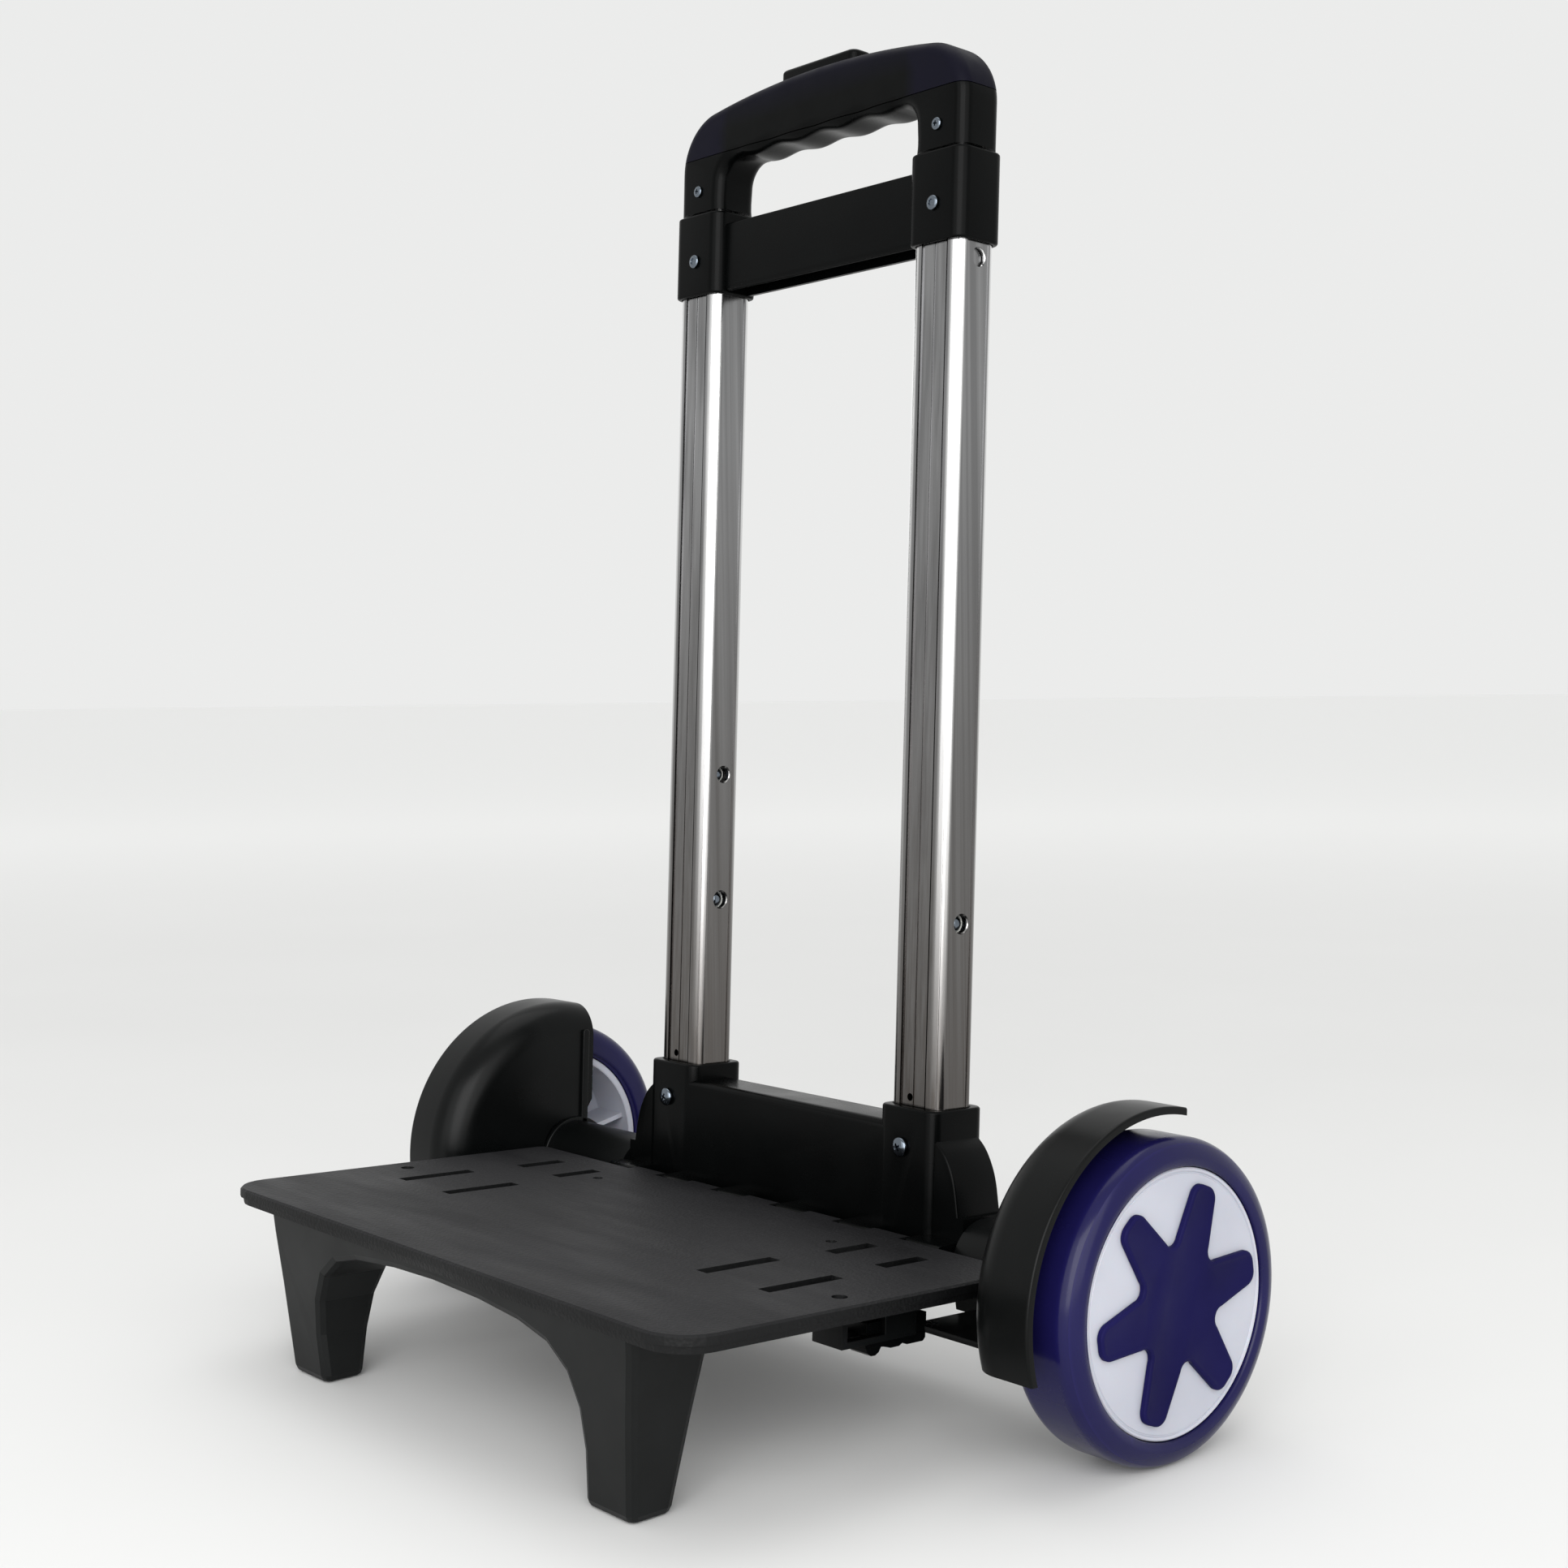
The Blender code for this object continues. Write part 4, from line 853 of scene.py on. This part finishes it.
def make_bracket():
    """The upper bracket: two sleeves around the tubes, joined by a plate that is open below."""
    front, back = PLATE_Y
    low, high = PLATE_Z
    outline = arc((front + 2.4, low + 2.4), 2.4, 270.0, 180.0, 8)
    outline += arc((front + 0.7, high - 0.7), 0.7, 180.0, 90.0, 4)
    outline += arc((back - 0.7, high - 0.7), 0.7, 90.0, 0.0, 4) + [(back, low)]
    parts = [prism(outline, "X", -TUBE_X + 5.0, TUBE_X - 5.0)]
    for _, side in SIDES:
        parts.append(rounded_block((side * TUBE_X, TUBE_Y), BRACKET_HALF, 4.8, BRACKET_Z, 0.9))
    bracket = combine(parts[0], parts[1:], "UNION")
    reach = TUBE_X - BRACKET_HALF[0]
    channel = box_outline((-reach, reach), (front + PLATE_WALL, back - PLATE_WALL))
    cuts = [prism(channel, "Z", low - 2.0, high - PLATE_SKIN)]
    top = OUTER_SPAN[1] + GAP
    for _, side in SIDES:
        centre = (side * TUBE_X, TUBE_Y)
        cuts.append(prism(rounded_box(centre, POCKET_HALF, POCKET_R, 8), "Z", BRACKET_Z[0] - 5.0, top))
        cuts.append(prism(rounded_box(centre, OUTER_BORE, 2.3, 8), "Z", top - 1.0, BRACKET_Z[1] + 5.0))
        hole = circle((side * TUBE_X + RIVET_SHIFT, RIVET_Z), RIVET_HOLE_R, 24)
        cuts.append(prism(hole, "Y", -10.5, -4.0))
    bracket = combine(bracket, cuts)
    piece("bracket_skin", bracket, "frame", SATIN, ["upper_bracket"], smooth=28.0)


# ---------------------------------------------------------------- fenders

def fender_section():
    """The fender's wall and rim as a bent strip of (x, radius) points, with a bead on the rim."""
    bend = 12.5
    corner = (FENDER_WALL_X + bend, FENDER_R - bend)
    outer = [(FENDER_WALL_X, 12.0), (FENDER_WALL_X, 26.0)] + arc(corner, bend, 180.0, 90.0, 18)
    outer += [(FENDER_RIM_X - 1.2, FENDER_R)]
    outer += arc((FENDER_RIM_X - 0.7, FENDER_R - 0.7), 0.7, 90.0, 0.0, 4)
    inner = [(FENDER_RIM_X, FENDER_R - FENDER_SKIN)] + arc(corner, bend - FENDER_SKIN, 90.0, 180.0, 18)
    return outer + inner + [(FENDER_WALL_X + FENDER_SKIN, 26.0), (FENDER_WALL_X + FENDER_SKIN, 12.0)]


def keep_below(bm, point, normal):
    """Cuts away what lies on the normal's side of a plane and closes the cut."""
    cut = bmesh.ops.bisect_plane(
        bm, geom=bm.verts[:] + bm.edges[:] + bm.faces[:], plane_co=point, plane_no=normal,
        clear_outer=True, clear_inner=False,
    )
    edges = [item for item in cut["geom_cut"] if isinstance(item, bmesh.types.BMEdge)]
    bmesh.ops.holes_fill(bm, edges=edges)
    return bm


def fender_shell(side):
    """The curved wall and rim over a wheel, cut off flat at the back and at the bottom."""
    centre_y, centre_z = FENDER_CENTRE
    rings = []
    steps = 72
    for step in range(steps + 1):
        angle = math.radians(214.0 - 155.0 * step / steps)
        rings.append([
            (side * x, centre_y + r * math.cos(angle), centre_z + r * math.sin(angle))
            for x, r in fender_section()
        ])
    shell = loft(bmesh.new(), rings)
    bmesh.ops.recalc_face_normals(shell, faces=shell.faces)
    keep_below(shell, (0.0, FENDER_BACK, 0.0), (0.0, 1.0, 0.0))
    return keep_below(shell, (0.0, 0.0, FENDER_BOTTOM), (0.0, 0.0, -1.0))


def fender_mount(side):
    """The arm over the axle, the flange where it meets the wall, a shelf and the wall's back lip."""
    end = side * (FENDER_WALL_X + FENDER_SKIN - 0.4)
    foot = [(14.6, -6.0), (12.0, FENDER_BOTTOM + 0.1), (-11.0, FENDER_BOTTOM + 0.1)]
    barrel = arc(ARM_CENTRE, ARM_R, 184.0, 12.0, 32) + foot
    arm = prism(barrel, "X", side * (HOUSING_END + GAP), end)
    flange = arc(ARM_CENTRE, 1.1 * ARM_R, 184.0, 12.0, 32) + foot
    ring = soften(prism(flange, "X", side * (FENDER_WALL_X - 1.5), end), 0.5, 3, 60.0)
    shelf = box_outline((-40.0, 10.0), (FENDER_BOTTOM + 0.05, FENDER_BOTTOM + 2.3))
    ledge = soften(prism(shelf, "X", side * 100.0, side * (FENDER_WALL_X + 2.0)), 0.4, 2, 60.0)
    lip = prism(rounded_box((4.6, 28.0), (1.5, 20.5), 1.2, 6), "X", side * 138.0, side * 141.0)
    return [arm, ring, ledge, soften(lip, 0.5, 3, 60.0)]


def make_fenders():
    for label, side in SIDES:
        fender = combine(fender_shell(side), fender_mount(side), "UNION")
        bore = prism(circle((0.0, 0.0), AXLE_R + GAP, 32), "X", side * 80.0, side * 150.0)
        piece(f"fender_{label}_skin", combine(fender, [bore]), "frame", PLASTIC,
              [f"fender_{label}"], smooth=32.0)


# ---------------------------------------------------------------- grip

def grip_crown(x):
    """The height of the grip's arched top."""
    return GRIP_TOP - x * x / (2 * GRIP_CROWN_R)


def grip_path():
    """Pairs of outer and inner points of the grip's outline, from the foot of one leg to the other."""
    out_x, in_x = TUBE_X + 12.0, TUBE_X - 12.0
    bend_out, bend_in = 21.0, 8.5
    shoulder = (out_x - bend_out, 384.2)
    outer = [(out_x, GRIP_BOTTOM), (out_x, 371.0), (out_x, 376.0), (out_x, shoulder[1])]
    outer += arc(shoulder, bend_out, 5.0, 81.0, 18)
    inner = [(in_x, GRIP_BOTTOM), (in_x + 0.25, 369.5), (in_x + 0.3, 372.0)]
    inner += [(in_x, GRIP_UNDER - bend_in)]
    inner += arc((in_x - bend_in, GRIP_UNDER - bend_in), bend_in, 6.0, 90.0, 18)
    right = list(zip(outer, inner))
    steps = 80
    bar = []
    for step in range(steps + 1):
        x = 40.0 - 80.0 * step / steps
        wave = FINGER_WAVE * math.cos(math.tau * x / FINGER_PITCH)
        bar.append(((x * 1.3, grip_crown(x * 1.3)), (x, GRIP_UNDER + wave)))
    return right + bar + [((-o[0], o[1]), (-i[0], i[1])) for o, i in reversed(right)]


def grip_solid():
    """The whole grip as one loop of rounded sections, before it is split."""
    rings = []
    for outer, inner in grip_path():
        middle = Vector(((outer[0] + inner[0]) / 2, (outer[1] + inner[1]) / 2))
        reach = Vector(outer) - middle
        flat = reach.normalized()
        section = rounded_box((0.0, 0.0), (reach.length, GRIP_HALF_Y), 4.6, 9)
        rings.append([
            (middle.x + flat.x * u, TUBE_Y + v, middle.y + flat.y * u) for u, v in section
        ])
    bm = loft(bmesh.new(), rings)
    bmesh.ops.recalc_face_normals(bm, faces=bm.faces)
    return bm


def make_grip():
    """The lower half with the legs and the shell on top, with room inside for the button's bar."""
    lower = keep_below(grip_solid(), (0, 0, GRIP_SPLIT - GAP / 2), (0, 0, 1))
    cuts = []
    for _, side in SIDES:
        centre = (side * TUBE_X, TUBE_Y)
        socket = rounded_box(centre, GRIP_BORE, 2.2, 6)
        cuts.append(prism(socket, "Z", GRIP_BOTTOM - 5.0, GRIP_BORE_TOP))
        hole = circle((side * TUBE_X, GRIP_SCREW_Z), GRIP_SCREW_HOLE_R, 24)
        cuts.append(prism(hole, "Y", -12.0, -3.0))
        cuts.append(prism(circle(centre, ROD_HOLE_R, 24), "Z", GRIP_BORE_TOP - 0.8, 395.0))
    piece("grip_lower_skin", combine(lower, cuts), "handle_stage", SATIN,
          ["grip_lower"], smooth=32.0)

    shell = keep_below(grip_solid(), (0, 0, GRIP_SPLIT + GAP / 2), (0, 0, -1))
    room = prism(rounded_box((0.0, TUBE_Y), (66.2, 5.2), 2.0, 4), "Z", 380.0, CROSSBAR_Z[1] + 0.7)
    slot = rounded_box(BUTTON_CENTRE, (BUTTON_HALF[0] + GAP, BUTTON_HALF[1] + GAP), 3.0, 8)
    slot = prism(slot, "Z", CROSSBAR_Z[1] - 1.5, GRIP_TOP + 10.5)
    piece("grip_shell_skin", combine(combine(shell, [room]), [slot]), "handle_stage", NAVY,
          ["grip_shell"], smooth=32.0)


def make_button():
    """The button with a rounded top, the bar that carries it and the pocket for its spring."""
    layers = [(CROSSBAR_Z[1] - 1.0, 0.0), (BUTTON_TOP - 1.6, 0.0)]
    for step in range(1, 7):
        angle = math.radians(90.0 * step / 6)
        layers.append((BUTTON_TOP - 1.6 + 1.6 * math.sin(angle), 1.9 - 1.9 * math.cos(angle)))
    button = stack([
        (z, rounded_box(BUTTON_CENTRE, [half - inset for half in BUTTON_HALF], 2.8 - 0.4 * inset, 8))
        for z, inset in layers
    ], "Z")
    bar = prism(rounded_box((0.0, TUBE_Y), (65.6, 4.4), 2.0, 4), "Z", *CROSSBAR_Z)
    pocket = circle((0.0, TUBE_Y), SPRING_POCKET_R, 32)
    pocket = prism(pocket, "Z", CROSSBAR_Z[0] - 2.0, SPRING_POCKET_TOP)
    piece("button_skin", combine(combine(button, [bar], "UNION"), [pocket]), "release_button",
          SATIN, ["release_button"], smooth=32.0)


# ---------------------------------------------------------------- fasteners

def pan_head(centre, front, seat, end, radius, shank):
    """A pan head between front and seat, seen from the front, on a plain shank that reaches to end."""
    height = seat - front
    profile = [(seat, radius * 0.97), (seat - height * 0.3, radius)]
    for step in range(1, 8):
        angle = math.radians(90.0 * step / 8)
        profile.append((seat - height * (0.3 + 0.7 * math.sin(angle)),
                        radius * (0.18 + 0.82 * math.cos(angle))))
    rings = list(reversed(profile))
    layers = [(front, rings[0][1] * 0.5)] + rings + [(seat, shank), (end, shank * 0.8)]
    return stack([(y, circle(centre, r, 40)) for y, r in layers], "Y")


def cross_recess(x, z, front, reach, width, turn):
    """Tapered cross-shaped cutters that reach back from the front of a head."""
    cutters = []
    for quarter in (0.0, 90.0):
        blade = stack([
            (front - 1.0, box_outline((-reach, reach), (-width, width))),
            (front + 1.2, box_outline((-reach * 0.45, reach * 0.45), (-width * 0.7, width * 0.7))),
        ], "Y")
        blade.transform(Matrix.Rotation(math.radians(quarter + turn), 4, "Y"))
        blade.transform(Matrix.Translation((x, 0.0, z)))
        cutters.append(blade)
    return cutters


def make_fasteners():
    """The cross-head screws and the rivets on the front."""
    for label, side in SIDES:
        x = side * TUBE_X + SCREW_SHIFT
        head = pan_head((x, SCREW_Z), -12.8, -10.9, -4.9, 3.3, 1.6)
        turn = 22.0 if side < 0 else 58.0
        piece(f"socket_screw_{label}_skin",
              combine(head, cross_recess(x, SCREW_Z, -12.8, 1.9, 0.42, turn)),
              "frame", ZINC, [f"socket_screw_{label}"], smooth=35.0)
        x = side * TUBE_X
        centre = (x + RIVET_SHIFT, RIVET_Z)
        rivet = pan_head(centre, -10.1, -9.0, -7.5, 2.5, 1.1)
        dimple = turned([(-11.0, 0.02), (-11.0, 1.5), (-9.6, 0.9), (-9.5, 0.02)], 32, centre, "Y")
        piece(f"bracket_rivet_{label}_skin", combine(rivet, [dimple]), "frame", ZINC,
              [f"bracket_rivet_{label}"], smooth=40.0)
        screw = pan_head((x, GRIP_SCREW_Z), -8.5, -7.6, -4.6, 2.1, 1.3)
        piece(f"grip_screw_{label}_skin",
              combine(screw, cross_recess(x, GRIP_SCREW_Z, -8.5, 1.2, 0.3, 10.0)),
              "handle_stage", ZINC, [f"grip_screw_{label}"], smooth=35.0)


def dress_cad_nodes():
    """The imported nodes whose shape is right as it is."""
    dress("platform_deck", DECK, 0.25, 2, 30.0)
    dress("leg_frame", LEG_PLASTIC)
    dress("latch_rail", PLASTIC, 0.4, 2, 40.0)
    dress("fold_latch", SATIN, 0.4, 2, 40.0)
    for node in ("wheel_axle", "fold_hinge_pin", "button_spring", "push_rod_left", "push_rod_right"):
        dress(node, STEEL)
    for label, _ in SIDES:
        dress(f"axle_spacer_{label}", NYLON)
        dress(f"push_nut_{label}", STEEL)
        dress(f"leg_screw_{label}", ZINC)


# ---------------------------------------------------------------- studio

def make_floor():
    """A pale floor that runs out to the horizon, where it meets the pale surroundings."""
    steps = 96
    rows = []
    bm = bmesh.new()
    for radius in (0.3, 0.8, 1.5, 3.0, 6.0, 12.0, 24.0, 60.0):
        rows.append([
            bm.verts.new((radius * math.cos(math.tau * i / steps),
                          radius * math.sin(math.tau * i / steps), 0.0))
            for i in range(steps)
        ])
    bm.faces.new(rows[0])
    for low, high in zip(rows, rows[1:]):
        for i in range(steps):
            j = (i + 1) % steps
            bm.faces.new((low[i], high[i], high[j], low[j]))
    bmesh.ops.recalc_face_normals(bm, faces=bm.faces)
    mesh = bpy.data.meshes.new("studio_floor")
    bm.to_mesh(mesh)
    bm.free()
    made = Finish("studio_paper", 0.8)
    away = made.nodes.new("ShaderNodeVectorMath")
    away.operation = "LENGTH"
    made.links.new(made.coordinates, away.inputs[0])
    far = made.ranged(away.outputs["Value"], 0.0, 1.0, 0.4, 3.5)
    far.node.interpolation_type = "SMOOTHSTEP"
    near_tone = made.ramp(made.noise(3.0, 3.0), [(0.3, (0.66, 0.66, 0.655)), (0.7, (0.675, 0.675, 0.67))])
    made.colour(made.mixed(far, near_tone, (0.97, 0.97, 0.965)))
    made.set(specular_ior_level=0.05)
    mesh.materials.append(made.material)
    floor = bpy.data.objects.new("studio_floor", mesh)
    bpy.context.scene.collection.objects.link(floor)


def area_light(name, place, target, size, power):
    """A softbox that lights the cart but is not seen itself."""
    light = bpy.data.lights.new(name, "AREA")
    light.shape = "RECTANGLE"
    light.size, light.size_y = size
    light.energy = power
    obj = bpy.data.objects.new(name, light)
    obj.location = place
    aim = Vector(target) - Vector(place)
    obj.rotation_euler = aim.to_track_quat("-Z", "Y").to_euler()
    obj.visible_camera = False
    bpy.context.scene.collection.objects.link(obj)


def make_lights():
    """Pale surroundings, three softboxes around the front right and one overhead."""
    world = bpy.data.worlds.new("studio")
    bpy.context.scene.world = world
    world.use_nodes = True
    background = world.node_tree.nodes["Background"]
    background.inputs["Color"].default_value = (0.835, 0.838, 0.832, 1.0)
    background.inputs["Strength"].default_value = 1.0
    distance, height = 1.7, 0.75
    for name, bearing, power in (("front", -78.0, 7.0), ("corner", -45.0, 24.0), ("side", -12.0, 9.0)):
        angle = math.radians(bearing)
        place = (distance * math.cos(angle), distance * math.sin(angle), height)
        area_light(f"{name}_softbox", place, (0.0, 0.0, 0.25), (1.1, 1.5), power)
    area_light("overhead", (-0.3, 0.3, 2.2), (0.0, 0.0, 0.0), (1.6, 1.6), 10.0)
    bpy.context.scene.view_settings.view_transform = "Standard"


def make_camera():
    """Stands to the front right of the cart, a little above the platform."""
    yaw, pitch, roll = (math.radians(angle) for angle in CAMERA_TURN)
    forward = Vector((
        -math.sin(yaw) * math.cos(pitch), math.cos(yaw) * math.cos(pitch), math.sin(pitch),
    ))
    level = Vector((math.cos(yaw), math.sin(yaw), 0.0))
    upward = level.cross(forward)
    right = level * math.cos(roll) + upward * math.sin(roll)
    top = upward * math.cos(roll) - level * math.sin(roll)
    turn = Matrix((right, top, -forward)).transposed()
    data = bpy.data.cameras.new("camera")
    data.lens = CAMERA_LENS
    data.sensor_width = 36.0
    data.clip_start, data.clip_end = 0.01, 200.0
    camera = bpy.data.objects.new("camera", data)
    camera.matrix_world = Matrix.Translation(CAMERA_PLACE) @ turn.to_4x4()
    bpy.context.scene.collection.objects.link(camera)
    bpy.context.scene.camera = camera


make_camera()
make_lights()
make_floor()
make_wheels()
make_tubes()
make_pins()
make_housing()
make_bracket()
make_fenders()
make_grip()
make_button()
make_fasteners()
dress_cad_nodes()

bpy.context.view_layer.update()
